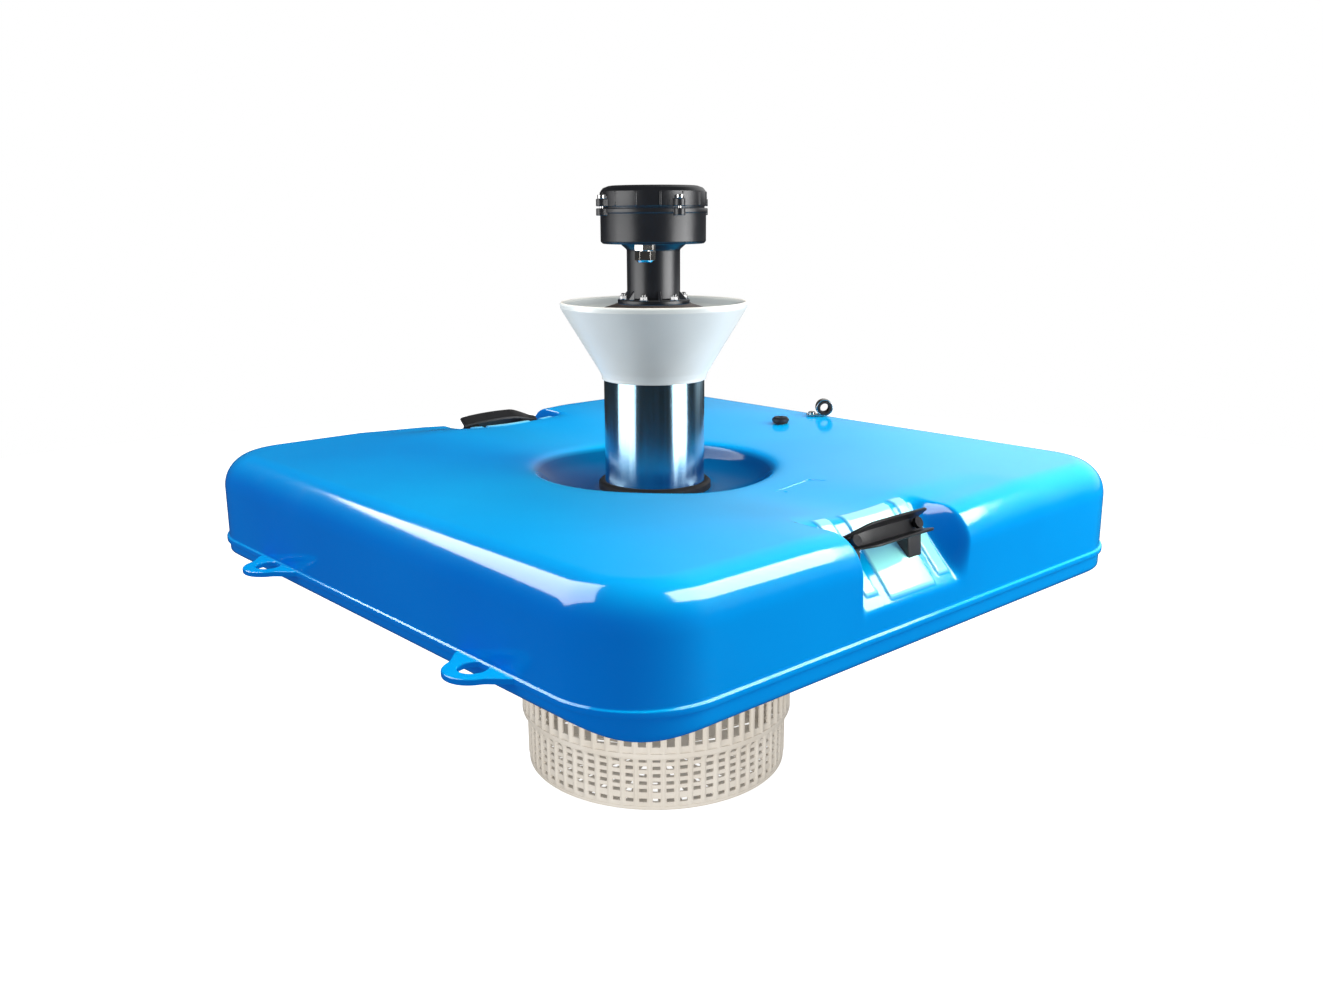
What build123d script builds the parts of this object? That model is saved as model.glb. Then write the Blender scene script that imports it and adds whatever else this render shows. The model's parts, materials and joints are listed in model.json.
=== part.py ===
"""Splash aerator: a square float with a vertical riser tube, a spray cone over it,
a submerged motor and propeller inside the tube, a strainer basket below the float
and a terminal housing on a neck above the cone.

Millimetres, +Z up. The origin is on the riser axis, in the plane on which the
strainer basket stands.
"""

from build123d import *
from math import cos, pi, radians, sin, sqrt
import os

os.makedirs("parts", exist_ok=True)

# ---------------------------------------------------------------- dimensions
# float
FLOAT_X = 800.0
FLOAT_Y = 774.0
CORNER_R = 88.0
EDGE_R = 38.0
KEEL_X = 62.0
KEEL_Z = 35.0
Z_FLOAT_BOTTOM = 228.0
Z_FLOAT_TOP = 380.0
Z_SEAM = 277.0
FLANGE_T = 6.0
FLANGE_OUT = 3.0
WALL = 5.0
R_WELL = 61.0
Z_WELL_FLOOR = 340.0
R_DISH_RIM = 147.0
Z_DISH_RIM = 368.0
R_BOSS_RING = 100.0
Z_BOSS_RING = 246.0
# mooring ears
EAR_R = 27.0
EAR_HOLE_R = 13.0
EAR_Y = 401.0
EAR_X1 = 190.0
EAR_X2 = 215.0
# handle scoops
SCOOP_TOP = (318.0, 381.0)
SCOOP_DIR = (0.739, -0.674)
SCOOP_OUT = (0.674, 0.739)
SCOOP_Y = (-108.0, 48.0)
GRIP_CENTRE = (372.0, 366.0)
GRIP_TILT = 28.0
GRIP_LEN = 122.0
GRIP_Y_FRONT = -44.0
GRIP_Y_REAR = 30.0
GRIP_SCREW_SPACING = 94.0
# plug and cable clip on the top
PLUG_XY = (-47.0, 274.0)
Z_PLUG_SEAT = 378.0
CLIP_XY = (-34.0, 350.0)
CLIP_DIR = (0.667, 0.745)
CLIP_REACH = 17.0
CLIP_SCREW_XY = (
    CLIP_XY[0] - CLIP_REACH * CLIP_DIR[0],
    CLIP_XY[1] - CLIP_REACH * CLIP_DIR[1],
)
CLIP_RING_R = 11.5
# riser
R_RISER = 58.7
RISER_T = 1.5
Z_RISER_BOTTOM = 112.0
Z_RISER_TOP = 480.0
R_RISER_FLANGE = 95.0
Z_RISER_FLANGE = 222.0
RISER_BOLT_PCD = 160.0
# cone
Z_CONE_BOTTOM = 469.5
Z_CONE_TOP = 558.7
R_CONE_TOP = 107.9
# deflector and stem
R_DEFLECTOR = 57.6
Z_DEFLECTOR = 550.0
R_STEM = 19.0
R_STEM_BORE = 16.0
NECK_BOLT_PCD = 71.0
# terminal housing
R_FOOT = 41.4
Z_FOOT = 556.5
Z_FOOT_TOP = 561.3
R_NECK = 30.5
R_NECK_BORE = 20.0
Z_NECK_TOP = 617.0
Z_BOX = 623.5
R_BOX = 59.9
Z_BOX_TOP = 662.5
Z_LID_TOP = 687.4
LUG_R = 64.0
LUG_ANGLES = (-105.0, -15.0, 75.0, 165.0)
GLAND_ANGLE = -53.6
GLAND_R = 45.0
# motor
R_MOTOR = 42.0
Z_MOTOR_BOTTOM = 186.0
Z_MOTOR_TOP = 384.0
R_SHAFT = 7.0
R_PROP = 54.5
Z_PROP = 126.0
PROP_H = 30.0
BLADES = 4
# basket
R_BASKET = 158.5
R_BASKET_UPPER = 165.0
BASKET_T = 3.0
BASKET_LUG_R = 176.0


def polar(radius, degrees):
    return radius * cos(radians(degrees)), radius * sin(radians(degrees))


def grip_point(n, t, side=1):
    """A point of the grip's section: n outward across the web, t along it."""
    c, s = cos(radians(GRIP_TILT)), sin(radians(GRIP_TILT))
    x = GRIP_CENTRE[0] + n * c - t * s
    z = GRIP_CENTRE[1] + n * s + t * c
    return (side * x, z)


def grip_axis(side, y):
    """Plane whose normal runs inward along a grip screw."""
    c, s = cos(radians(GRIP_TILT)), sin(radians(GRIP_TILT))
    x, z = grip_point(0, 0, side)
    return Plane(
        origin=(x + side * 2.0 * c, y, z + 2.0 * s),
        x_dir=(0, 1, 0),
        z_dir=(-side * c, 0, -s),
    )


GRIPS = {1: GRIP_Y_FRONT, -1: GRIP_Y_REAR}


def scoop_section(inset, side):
    """Corners of the handle scoop's section, x and z, grown by inset."""
    (x0, z0), (dx, dz), (nx, nz) = SCOOP_TOP, SCOOP_DIR, SCOOP_OUT
    a = (x0 - 60 * dx - inset * nx, z0 - 60 * dz - inset * nz)
    b = (x0 + 190 * dx - inset * nx, z0 + 190 * dz - inset * nz)
    corners = [a, b, (500.0, 470.0)]
    return [(side * x, z) for x, z in corners]


def dish_section(inset):
    """Half section of the open well, dish and pillowed top, grown by inset."""
    well = R_BOSS_RING if inset else R_WELL
    return [
        (0.0, 150.0),
        (well, 150.0),
        (well, (Z_BOSS_RING + inset - WALL) if inset else 200.0),
        (R_WELL + inset, (Z_BOSS_RING + inset - WALL) if inset else 200.5),
        (R_WELL + inset, Z_WELL_FLOOR - inset),
        (74.0 + inset, Z_WELL_FLOOR - inset),
        (124.0 + 0.7 * inset, 349.0 - inset),
        (136.0 + inset, 360.0 - 0.7 * inset),
        (R_DISH_RIM + inset, Z_DISH_RIM - 0.8 * inset),
        (340.0, 380.6 - inset),
        (340.0, 420.0),
        (0.0, 420.0),
    ]


def float_form(inset):
    """The float's solid form, shrunk by inset from every surface."""
    with BuildPart() as form:
        with BuildSketch(Plane.XY.offset(Z_FLOAT_BOTTOM + inset)):
            RectangleRounded(
                FLOAT_X - 2 * inset, FLOAT_Y - 2 * inset, CORNER_R - inset
            )
        extrude(amount=Z_FLOAT_TOP - Z_FLOAT_BOTTOM - 2 * inset)
        fillet(form.faces().sort_by(Axis.Z)[-1].edges(), EDGE_R - inset)
        keel = form.faces().sort_by(Axis.Z)[0]
        chamfer(
            keel.edges(),
            length=KEEL_X - 0.7 * inset,
            length2=KEEL_Z - 0.45 * inset,
            reference=keel,
        )
        with BuildSketch(Plane.XZ):
            with BuildLine():
                Polyline(dish_section(inset), close=True)
            make_face()
        revolve(axis=Axis.Z, mode=Mode.SUBTRACT)
        for side in (1, -1):
            low, high = SCOOP_Y if side > 0 else (-SCOOP_Y[1], -SCOOP_Y[0])
            with BuildSketch(Plane.XZ.offset(-(high + inset))):
                with BuildLine():
                    Polyline(scoop_section(inset, side), close=True)
                make_face()
            extrude(amount=high - low + 2 * inset, mode=Mode.SUBTRACT)
        if inset:
            # solid bosses for the basket screws
            with BuildSketch(Plane.XY.offset(Z_FLOAT_BOTTOM)):
                with PolarLocations(BASKET_LUG_R, 4, start_angle=45):
                    Circle(11.0 + inset - WALL)
            extrude(amount=18.0 + inset - WALL, mode=Mode.SUBTRACT)
            # blind bosses for the grip screws and the clip screw
            for side, y_mid in GRIPS.items():
                for y in (-GRIP_SCREW_SPACING / 2, GRIP_SCREW_SPACING / 2):
                    with BuildSketch(grip_axis(side, y_mid + y)):
                        Circle(9.0)
                    extrude(amount=58.0, mode=Mode.SUBTRACT)
            with BuildSketch(Plane.XY.offset(355.0)):
                with Locations(CLIP_SCREW_XY):
                    Circle(7.5)
            extrude(amount=30.0, mode=Mode.SUBTRACT)
    return form.part


# ---------------------------------------------------------------- float
outer_form = float_form(0.0)
cavity_form = float_form(WALL)


with BuildPart() as float_upper_shell:
    add(outer_form)
    split(bisect_by=Plane.XY.offset(Z_SEAM), keep=Keep.TOP)
    # weld flange with the mooring ears
    with BuildSketch(Plane.XY.offset(Z_SEAM)):
        RectangleRounded(
            FLOAT_X + 2 * FLANGE_OUT, FLOAT_Y + 2 * FLANGE_OUT, CORNER_R + FLANGE_OUT
        )
        for x, y in (
            (-EAR_X1, -EAR_Y),
            (EAR_X2, -EAR_Y),
            (EAR_X1, EAR_Y),
            (-EAR_X2, EAR_Y),
        ):
            s = 1 if y > 0 else -1
            with Locations((x, y)):
                Circle(EAR_R)
            with BuildLine():
                Polyline(
                    (x - 48, s * 386),
                    (x - 24, s * (EAR_Y + 10)),
                    (x + 24, s * (EAR_Y + 10)),
                    (x + 48, s * 386),
                    close=True,
                )
            make_face()
            with Locations((x, y)):
                Circle(EAR_HOLE_R, mode=Mode.SUBTRACT)
        RectangleRounded(
            FLOAT_X - 2 * WALL,
            FLOAT_Y - 2 * WALL,
            CORNER_R - WALL,
            mode=Mode.SUBTRACT,
        )
    extrude(amount=FLANGE_T)
    # seat of the plug
    with BuildSketch(Plane.XY.offset(370.0)):
        with Locations(PLUG_XY):
            Circle(15.0)
    extrude(amount=Z_PLUG_SEAT - 370.0)
    add(cavity_form, mode=Mode.SUBTRACT)
    with BuildSketch(Plane.XY.offset(360.0)):
        with Locations(PLUG_XY):
            Circle(7.5)
    extrude(amount=30.0, mode=Mode.SUBTRACT)
    with BuildSketch(Plane.XY.offset(360.0)):
        with Locations(CLIP_SCREW_XY):
            Circle(2.6)
    extrude(amount=30.0, mode=Mode.SUBTRACT)
    for side, y_mid in GRIPS.items():
        for y in (-GRIP_SCREW_SPACING / 2, GRIP_SCREW_SPACING / 2):
            with BuildSketch(grip_axis(side, y_mid + y)):
                Circle(3.1)
            extrude(amount=47.0, mode=Mode.SUBTRACT)

with BuildPart() as float_lower_shell:
    add(outer_form)
    split(bisect_by=Plane.XY.offset(Z_SEAM), keep=Keep.BOTTOM)
    add(cavity_form, mode=Mode.SUBTRACT)
    with BuildSketch(Plane.XY.offset(Z_FLOAT_BOTTOM - 1)):
        with PolarLocations(RISER_BOLT_PCD / 2, 6):
            Circle(4.1)
    extrude(amount=17.0, mode=Mode.SUBTRACT)
    with BuildSketch(Plane.XY.offset(Z_FLOAT_BOTTOM - 1)):
        with PolarLocations(BASKET_LUG_R, 4, start_angle=45):
            Circle(3.4)
    extrude(amount=16.0, mode=Mode.SUBTRACT)

# ---------------------------------------------------------------- handle grips
def grip_body(side, y_mid):
    """Channel grip with two feet that stand on the scoop's slope."""
    section = [
        (-4, -7.5), (-4, 7.5), (-2, 10), (13, 12), (14, 9.5), (1, 6.5),
        (1, -6.5), (14, -9.5), (13, -12), (-2, -10),
    ]
    (x0, z0), (dx, dz), (nx, nz) = SCOOP_TOP, SCOOP_DIR, SCOOP_OUT
    foot = [
        grip_point(-3.5, 7, side),
        grip_point(-3.5, -8, side),
        (side * (x0 + 74 * dx + 0.2 * nx), z0 + 74 * dz + 0.2 * nz),
        (side * (x0 + 42 * dx + 0.2 * nx), z0 + 42 * dz + 0.2 * nz),
    ]
    with BuildPart() as body:
        with BuildSketch(Plane.XZ.offset(-(y_mid + GRIP_LEN / 2))):
            with BuildLine():
                Polyline([grip_point(n, t, side) for n, t in section], close=True)
            make_face()
        extrude(amount=GRIP_LEN)
        for y in (-GRIP_SCREW_SPACING / 2, GRIP_SCREW_SPACING / 2):
            with BuildSketch(Plane.XZ.offset(-(y_mid + y + 11))):
                with BuildLine():
                    Polyline(foot, close=True)
                make_face()
            extrude(amount=22)
        for y in (-GRIP_SCREW_SPACING / 2, GRIP_SCREW_SPACING / 2):
            with BuildSketch(grip_axis(side, y_mid + y)):
                Circle(3.1)
            extrude(amount=70.0, mode=Mode.SUBTRACT)
    return body.part


grip_front_form = grip_body(1, GRIP_Y_FRONT)
grip_rear_form = grip_body(-1, GRIP_Y_REAR)

with BuildPart() as handle_grip_front:
    add(grip_front_form)

with BuildPart() as handle_grip_rear:
    add(grip_rear_form)

with BuildPart() as handle_screws:
    for side, y_mid in GRIPS.items():
        for y in (-GRIP_SCREW_SPACING / 2, GRIP_SCREW_SPACING / 2):
            seat = grip_axis(side, y_mid + y)
            with BuildSketch(seat.offset(1.0)):
                Circle(3.0)
            extrude(amount=44.0)
            with BuildSketch(seat.offset(-2.6)):
                Circle(5.6)
            extrude(amount=3.6)

# ---------------------------------------------------------------- small parts on the float
with BuildPart() as float_plug:
    with BuildSketch(Plane.XY.offset(Z_PLUG_SEAT + 1.6)):
        with Locations(PLUG_XY):
            Circle(11.5)
    extrude(amount=6.0)
    fillet(float_plug.faces().sort_by(Axis.Z)[-1].edges(), 4.0)
    with BuildSketch(Plane.XY.offset(Z_PLUG_SEAT - 14.0)):
        with Locations(PLUG_XY):
            Circle(7.0)
    extrude(amount=15.6)

with BuildPart() as plug_seal:
    with BuildSketch(Plane.XY.offset(Z_PLUG_SEAT)):
        with Locations(PLUG_XY):
            Circle(10.5)
            Circle(7.4, mode=Mode.SUBTRACT)
    extrude(amount=1.6)

CLIP_PLANE = Plane(
    origin=(CLIP_XY[0], CLIP_XY[1], Z_FLOAT_TOP),
    x_dir=(CLIP_DIR[0], CLIP_DIR[1], 0),
    z_dir=(CLIP_DIR[1], -CLIP_DIR[0], 0),
)
with BuildPart() as cable_clip:
    with BuildSketch(CLIP_PLANE.offset(-7.0)):
        with Locations((0, CLIP_RING_R + 0.4)):
            Circle(CLIP_RING_R)
        with BuildLine():
            Polyline(
                (-CLIP_REACH - 7.0, 0.4),
                (0.0, 0.4),
                (0.0, 2.6),
                (-CLIP_REACH - 7.0, 2.6),
                close=True,
            )
        make_face()
        with Locations((0, CLIP_RING_R + 0.4)):
            Circle(CLIP_RING_R - 1.5, mode=Mode.SUBTRACT)
    extrude(amount=14.0)
    with BuildSketch(Plane.XY.offset(375.0)):
        with Locations(CLIP_SCREW_XY):
            Circle(2.6)
    extrude(amount=20.0, mode=Mode.SUBTRACT)

with BuildPart() as clip_liner:
    with BuildSketch(CLIP_PLANE.offset(-8.0)):
        with Locations((0, CLIP_RING_R + 0.4)):
            Circle(CLIP_RING_R - 1.6)
            Circle(6.2, mode=Mode.SUBTRACT)
    extrude(amount=16.0)

with BuildPart() as clip_screw:
    with BuildSketch(Plane.XY.offset(362.0)):
        with Locations(CLIP_SCREW_XY):
            Circle(2.4)
    extrude(amount=20.6)
    with BuildSketch(Plane.XY.offset(Z_FLOAT_TOP + 2.6)):
        with Locations(CLIP_SCREW_XY):
            Circle(5.0)
    extrude(amount=3.6)
    fillet(clip_screw.faces().sort_by(Axis.Z)[-1].edges(), 2.0)

# ---------------------------------------------------------------- riser tube
with BuildPart() as riser_tube:
    with BuildSketch(Plane.XY.offset(Z_RISER_BOTTOM)):
        Circle(R_RISER)
        Circle(R_RISER - RISER_T, mode=Mode.SUBTRACT)
    extrude(amount=Z_RISER_TOP - Z_RISER_BOTTOM)
    for angle in (0, 90, 180, 270):
        with BuildSketch(
            Plane(origin=(0, 0, 212), x_dir=(0, 0, 1), z_dir=(*polar(1, angle), 0))
        ):
            Circle(2.7)
        extrude(amount=70.0, mode=Mode.SUBTRACT)

with BuildPart() as riser_flange:
    with BuildSketch(Plane.XY.offset(Z_RISER_FLANGE)):
        Circle(R_RISER_FLANGE)
        Circle(R_RISER + 0.05, mode=Mode.SUBTRACT)
        with PolarLocations(RISER_BOLT_PCD / 2, 6):
            Circle(4.2, mode=Mode.SUBTRACT)
    extrude(amount=Z_FLOAT_BOTTOM - Z_RISER_FLANGE)

with BuildPart() as riser_bolts:
    with BuildSketch(Plane.XY.offset(Z_RISER_FLANGE - 5.3)):
        with PolarLocations(RISER_BOLT_PCD / 2, 6):
            RegularPolygon(7.5, 6)
    extrude(amount=5.3)
    with BuildSketch(Plane.XY.offset(Z_RISER_FLANGE)):
        with PolarLocations(RISER_BOLT_PCD / 2, 6):
            Circle(4.0)
    extrude(amount=21.0)

with BuildPart() as tube_collar:
    with BuildSketch(Plane.XZ):
        with BuildLine():
            Polyline(
                (R_RISER + 0.05, Z_WELL_FLOOR),
                (66.5, Z_WELL_FLOOR),
                (66.5, 347.5),
                (64.0, 350.0),
                (R_RISER + 0.05, 350.0),
                close=True,
            )
        make_face()
    revolve(axis=Axis.Z)

# ---------------------------------------------------------------- spray cone
with BuildPart() as spray_cone:
    with BuildSketch(Plane.XZ):
        with BuildLine():
            Polyline(
                (R_RISER + 0.1, Z_CONE_BOTTOM),
                (60.6, Z_CONE_BOTTOM),
                (61.0, 473.0),
                (63.6, 479.2),
                (105.2, 548.2),
                (107.4, 552.5),
                (R_CONE_TOP, 556.5),
                (107.0, Z_CONE_TOP),
                (104.6, Z_CONE_TOP),
                (103.0, 556.0),
                (100.6, 549.8),
                (62.0, 487.0),
                (56.2, 483.0),
                (R_RISER + 0.1, 483.0),
                close=True,
            )
        make_face()
    revolve(axis=Axis.Z)

with BuildPart() as deflector_plate:
    with BuildSketch(Plane.XZ):
        with BuildLine():
            Polyline(
                (R_STEM_BORE, Z_DEFLECTOR),
                (R_DEFLECTOR, Z_DEFLECTOR),
                (R_DEFLECTOR, 551.6),
                (46.0, 555.2),
                (43.0, Z_FOOT),
                (R_STEM_BORE, Z_FOOT),
                close=True,
            )
        make_face()
    revolve(axis=Axis.Z)
    with BuildSketch(Plane.XY.offset(540.0)):
        with PolarLocations(NECK_BOLT_PCD / 2, 6):
            Circle(2.7)
    extrude(amount=30.0, mode=Mode.SUBTRACT)

with BuildPart() as motor_stem:
    with BuildSketch(Plane.XY.offset(Z_MOTOR_TOP + 2.0)):
        Circle(R_STEM)
    extrude(amount=Z_DEFLECTOR - Z_MOTOR_TOP - 2.0)
    with BuildSketch(Plane.XY.offset(Z_DEFLECTOR - 4.0)):
        Circle(R_FOOT)
    extrude(amount=4.0)
    with BuildSketch(Plane.XY.offset(Z_MOTOR_TOP)):
        Circle(R_STEM_BORE)
    extrude(amount=200.0, mode=Mode.SUBTRACT)
    with BuildSketch(Plane.XY.offset(540.0)):
        with PolarLocations(NECK_BOLT_PCD / 2, 6):
            Circle(2.7)
    extrude(amount=30.0, mode=Mode.SUBTRACT)

with BuildPart() as stem_spider:
    with BuildSketch(Plane.XY.offset(468.0)):
        Circle(22.0)
        with PolarLocations(39.0, 3, start_angle=30):
            Rectangle(36.0, 2.5)
        Circle(R_STEM + 0.05, mode=Mode.SUBTRACT)
    extrude(amount=12.0)
    with BuildSketch(Plane.XY.offset(480.0)):
        with PolarLocations(48.0, 3, start_angle=30):
            Rectangle(20.5, 2.5)
    extrude(amount=2.8)

with BuildPart() as neck_bolts:
    with BuildSketch(Plane.XY.offset(541.5)):
        with PolarLocations(NECK_BOLT_PCD / 2, 6):
            Circle(2.5)
    extrude(amount=27.0)
    with BuildSketch(Plane.XY.offset(561.3)):
        with PolarLocations(NECK_BOLT_PCD / 2, 6):
            RegularPolygon(4.6, 6)
    extrude(amount=4.7)

with BuildPart() as neck_nuts:
    with BuildSketch(Plane.XY.offset(541.9)):
        with PolarLocations(NECK_BOLT_PCD / 2, 6):
            RegularPolygon(4.6, 6)
            Circle(2.52, mode=Mode.SUBTRACT)
    extrude(amount=4.1)

# ---------------------------------------------------------------- terminal housing
with BuildPart() as neck_foot:
    with BuildSketch(Plane.XY.offset(Z_FOOT)):
        Circle(R_FOOT)
        Circle(R_NECK_BORE, mode=Mode.SUBTRACT)
        with PolarLocations(NECK_BOLT_PCD / 2, 6):
            Circle(2.7, mode=Mode.SUBTRACT)
    extrude(amount=Z_FOOT_TOP - Z_FOOT)
    # gussets between the foot bolts
    for n in range(6):
        angle = 30 + 60 * n
        with BuildSketch(
            Plane(
                origin=(0, 0, 0),
                x_dir=(*polar(1, angle), 0),
                z_dir=(*polar(1, angle + 90), 0),
            )
        ):
            with BuildLine():
                Polyline((25.0, -560.0), (40.0, -560.0), (31.0, -572.0), (25.0, -572.0), close=True)
            make_face()
        extrude(amount=1.5, both=True)
    with BuildSketch(Plane.XY.offset(Z_FOOT_TOP)):
        Circle(R_NECK)
    extrude(amount=20.0, mode=Mode.SUBTRACT)

with BuildPart() as terminal_neck:
    with BuildSketch(Plane.XZ):
        with BuildLine():
            Polyline(
                (R_NECK_BORE, Z_FOOT_TOP),
                (R_NECK, Z_FOOT_TOP),
                (R_NECK, Z_NECK_TOP),
                (38.0, Z_BOX),
                (R_NECK_BORE, Z_BOX),
                close=True,
            )
        make_face()
    revolve(axis=Axis.Z)
    # spot face of the cable gland
    with BuildSketch(Plane.XY.offset(600.0)):
        with Locations(polar(GLAND_R, GLAND_ANGLE)):
            Circle(13.2)
    extrude(amount=30.0, mode=Mode.SUBTRACT)

with BuildPart() as terminal_base:
    with BuildSketch(Plane.XZ):
        with BuildLine():
            Polyline(
                (R_NECK_BORE, Z_BOX),
                (57.4, Z_BOX),
                (R_BOX, 626.0),
                (R_BOX, 627.0),
                (R_NECK_BORE, 627.0),
                close=True,
            )
        make_face()
    revolve(axis=Axis.Z)
    # hole of the cable gland
    with BuildSketch(Plane.XY.offset(610.0)):
        with Locations(polar(GLAND_R, GLAND_ANGLE)):
            Circle(8.1)
    extrude(amount=30.0, mode=Mode.SUBTRACT)

with BuildPart() as terminal_housing:
    with BuildSketch(Plane.XZ):
        with BuildLine():
            Polyline(
                (56.5, 627.0),
                (R_BOX, 627.0),
                (R_BOX, 657.3),
                (61.4, 657.3),
                (61.4, Z_BOX_TOP),
                (55.0, Z_BOX_TOP),
                (55.0, 655.0),
                (56.5, 652.0),
                close=True,
            )
        make_face()
    revolve(axis=Axis.Z)
    # screw lugs
    with BuildSketch(Plane.XY.offset(654.5)):
        for angle in LUG_ANGLES:
            with Locations(Location((*polar(LUG_R, angle), 0), angle)):
                Circle(6.0)
            with Locations(Location((*polar(60.0, angle), 0), angle)):
                Rectangle(8.0, 12.0)
    extrude(amount=8.0)
    # inside cleared again where the lugs pass the wall
    with BuildSketch(Plane.XY.offset(655.0)):
        Circle(55.0)
    extrude(amount=10.0, mode=Mode.SUBTRACT)
    with BuildSketch(Plane.XY.offset(648.0)):
        with Locations(*[(polar(LUG_R, a)) for a in LUG_ANGLES]):
            Circle(2.6)
    extrude(amount=20.0, mode=Mode.SUBTRACT)
    # groove of the lid seal
    with BuildSketch(Plane.XY.offset(Z_BOX_TOP - 1.7)):
        Circle(59.1)
        Circle(56.7, mode=Mode.SUBTRACT)
    extrude(amount=2.0, mode=Mode.SUBTRACT)

with BuildPart() as terminal_lid:
    with BuildSketch(Plane.XZ):
        with BuildLine():
            Polyline(
                (0.0, Z_LID_TOP),
                (48.0, 686.4),
                (56.5, 684.2),
                (59.4, 681.0),
                (59.4, 664.6),
                (58.2, 664.4),
                (58.2, Z_BOX_TOP),
                (55.6, Z_BOX_TOP),
                (55.6, 680.0),
                (46.0, 683.2),
                (0.0, 684.2),
                close=True,
            )
        make_face()
    revolve(axis=Axis.Z)
    # grip ribs round the band
    with BuildSketch(Plane.XY.offset(665.0)):
        with PolarLocations(59.4, 14, start_angle=17.14):
            Rectangle(2.4, 3.4)
    extrude(amount=15.5)
    with BuildSketch(Plane.XY.offset(664.6)):
        for angle in LUG_ANGLES:
            with Locations(Location((*polar(LUG_R, angle), 0), angle)):
                Circle(6.0)
            with Locations(Location((*polar(60.0, angle), 0), angle)):
                Rectangle(8.0, 12.0)
    extrude(amount=8.0)
    with BuildSketch(Plane.XY.offset(660.0)):
        Circle(55.6)
    extrude(amount=18.0, mode=Mode.SUBTRACT)
    with BuildSketch(Plane.XY.offset(650.0)):
        with Locations(*[(polar(LUG_R, a)) for a in LUG_ANGLES]):
            Circle(2.6)
    extrude(amount=24.0, mode=Mode.SUBTRACT)

with BuildPart() as lid_screws:
    with BuildSketch(Plane.XY.offset(655.5)):
        with Locations(*[(polar(LUG_R, a)) for a in LUG_ANGLES]):
            Circle(2.25)
    extrude(amount=17.1)
    with BuildSketch(Plane.XY.offset(672.6)):
        with Locations(*[(polar(LUG_R, a)) for a in LUG_ANGLES]):
            Circle(4.4)
    extrude(amount=4.4)
    with BuildSketch(Plane.XY.offset(675.0)):
        with Locations(*[(polar(LUG_R, a)) for a in LUG_ANGLES]):
            RegularPolygon(2.3, 6)
    extrude(amount=3.0, mode=Mode.SUBTRACT)

with BuildPart() as lid_seal:
    with BuildSketch(Plane.XY.offset(Z_BOX_TOP - 1.6)):
        Circle(58.9)
        Circle(56.9, mode=Mode.SUBTRACT)
    extrude(amount=1.5)

# ---------------------------------------------------------------- cable gland
with BuildPart() as gland_body:
    with BuildSketch(Plane.XY.offset(617.0)):
        with Locations(polar(GLAND_R, GLAND_ANGLE)):
            RegularPolygon(12.0, 6)
    extrude(amount=Z_BOX - 617.0)
    with BuildSketch(Plane.XY.offset(609.0)):
        with Locations(polar(GLAND_R, GLAND_ANGLE)):
            Circle(8.0)
    extrude(amount=24.0)
    with BuildSketch(Plane.XY.offset(600.0)):
        with Locations(polar(GLAND_R, GLAND_ANGLE)):
            Circle(5.5)
    extrude(amount=40.0, mode=Mode.SUBTRACT)

with BuildPart() as gland_locknut:
    with BuildSketch(Plane.XY.offset(627.0)):
        with Locations(polar(GLAND_R, GLAND_ANGLE)):
            RegularPolygon(11.2, 6)
            Circle(8.05, mode=Mode.SUBTRACT)
    extrude(amount=4.0)

with BuildPart() as gland_seal:
    with BuildSketch(Plane.XY.offset(606.6)):
        with Locations(polar(GLAND_R, GLAND_ANGLE)):
            Circle(7.4)
            Circle(5.6, mode=Mode.SUBTRACT)
    extrude(amount=2.3)

with BuildPart() as gland_nut:
    with BuildSketch(Plane.XY.offset(606.5)):
        with Locations(polar(GLAND_R, GLAND_ANGLE)):
            RegularPolygon(11.6, 6)
    extrude(amount=10.2)
    with BuildSketch(Plane.XY.offset(604.3)):
        with Locations(polar(GLAND_R, GLAND_ANGLE)):
            Circle(9.4)
    extrude(amount=2.2)
    with BuildSketch(Plane.XY.offset(606.3)):
        with Locations(polar(GLAND_R, GLAND_ANGLE)):
            Circle(8.3)
    extrude(amount=12.0, mode=Mode.SUBTRACT)
    with BuildSketch(Plane.XY.offset(600.0)):
        with Locations(polar(GLAND_R, GLAND_ANGLE)):
            Circle(5.8)
    extrude(amount=10.0, mode=Mode.SUBTRACT)

# ---------------------------------------------------------------- electrical parts
with BuildPart() as terminal_block:
    with BuildSketch(Plane.XY.offset(627.0)):
        with Locations(Location((*polar(38.0, 126.4), 0), 126.4)):
            Rectangle(15.0, 46.0)
    extrude(amount=9.0)
    with BuildSketch(Plane.XY.offset(636.0)):
        with Locations(Location((*polar(38.0, 126.4), 0), 126.4)):
            Rectangle(8.0, 46.0)
    extrude(amount=6.0)

with BuildPart() as run_capacitor:
    with BuildSketch(
        Plane(
            origin=(
                36.0 * cos(radians(36.4)) + 25.0 * sin(radians(36.4)),
                36.0 * sin(radians(36.4)) - 25.0 * cos(radians(36.4)),
                639.3,
            ),
            x_dir=(0, 0, 1),
            z_dir=(-sin(radians(36.4)), cos(radians(36.4)), 0),
        )
    ):
        Circle(12.0)
    extrude(amount=50.0)

with BuildPart() as motor_lead:
    with BuildSketch(Plane.XY.offset(Z_MOTOR_TOP)):
        Circle(4.5)
    extrude(amount=640.0 - Z_MOTOR_TOP)

# ---------------------------------------------------------------- motor
with BuildPart() as motor_can:
    with BuildSketch(Plane.XY.offset(200.0)):
        Circle(R_MOTOR)
        Circle(R_MOTOR - 2.5, mode=Mode.SUBTRACT)
    extrude(amount=170.0)

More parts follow.
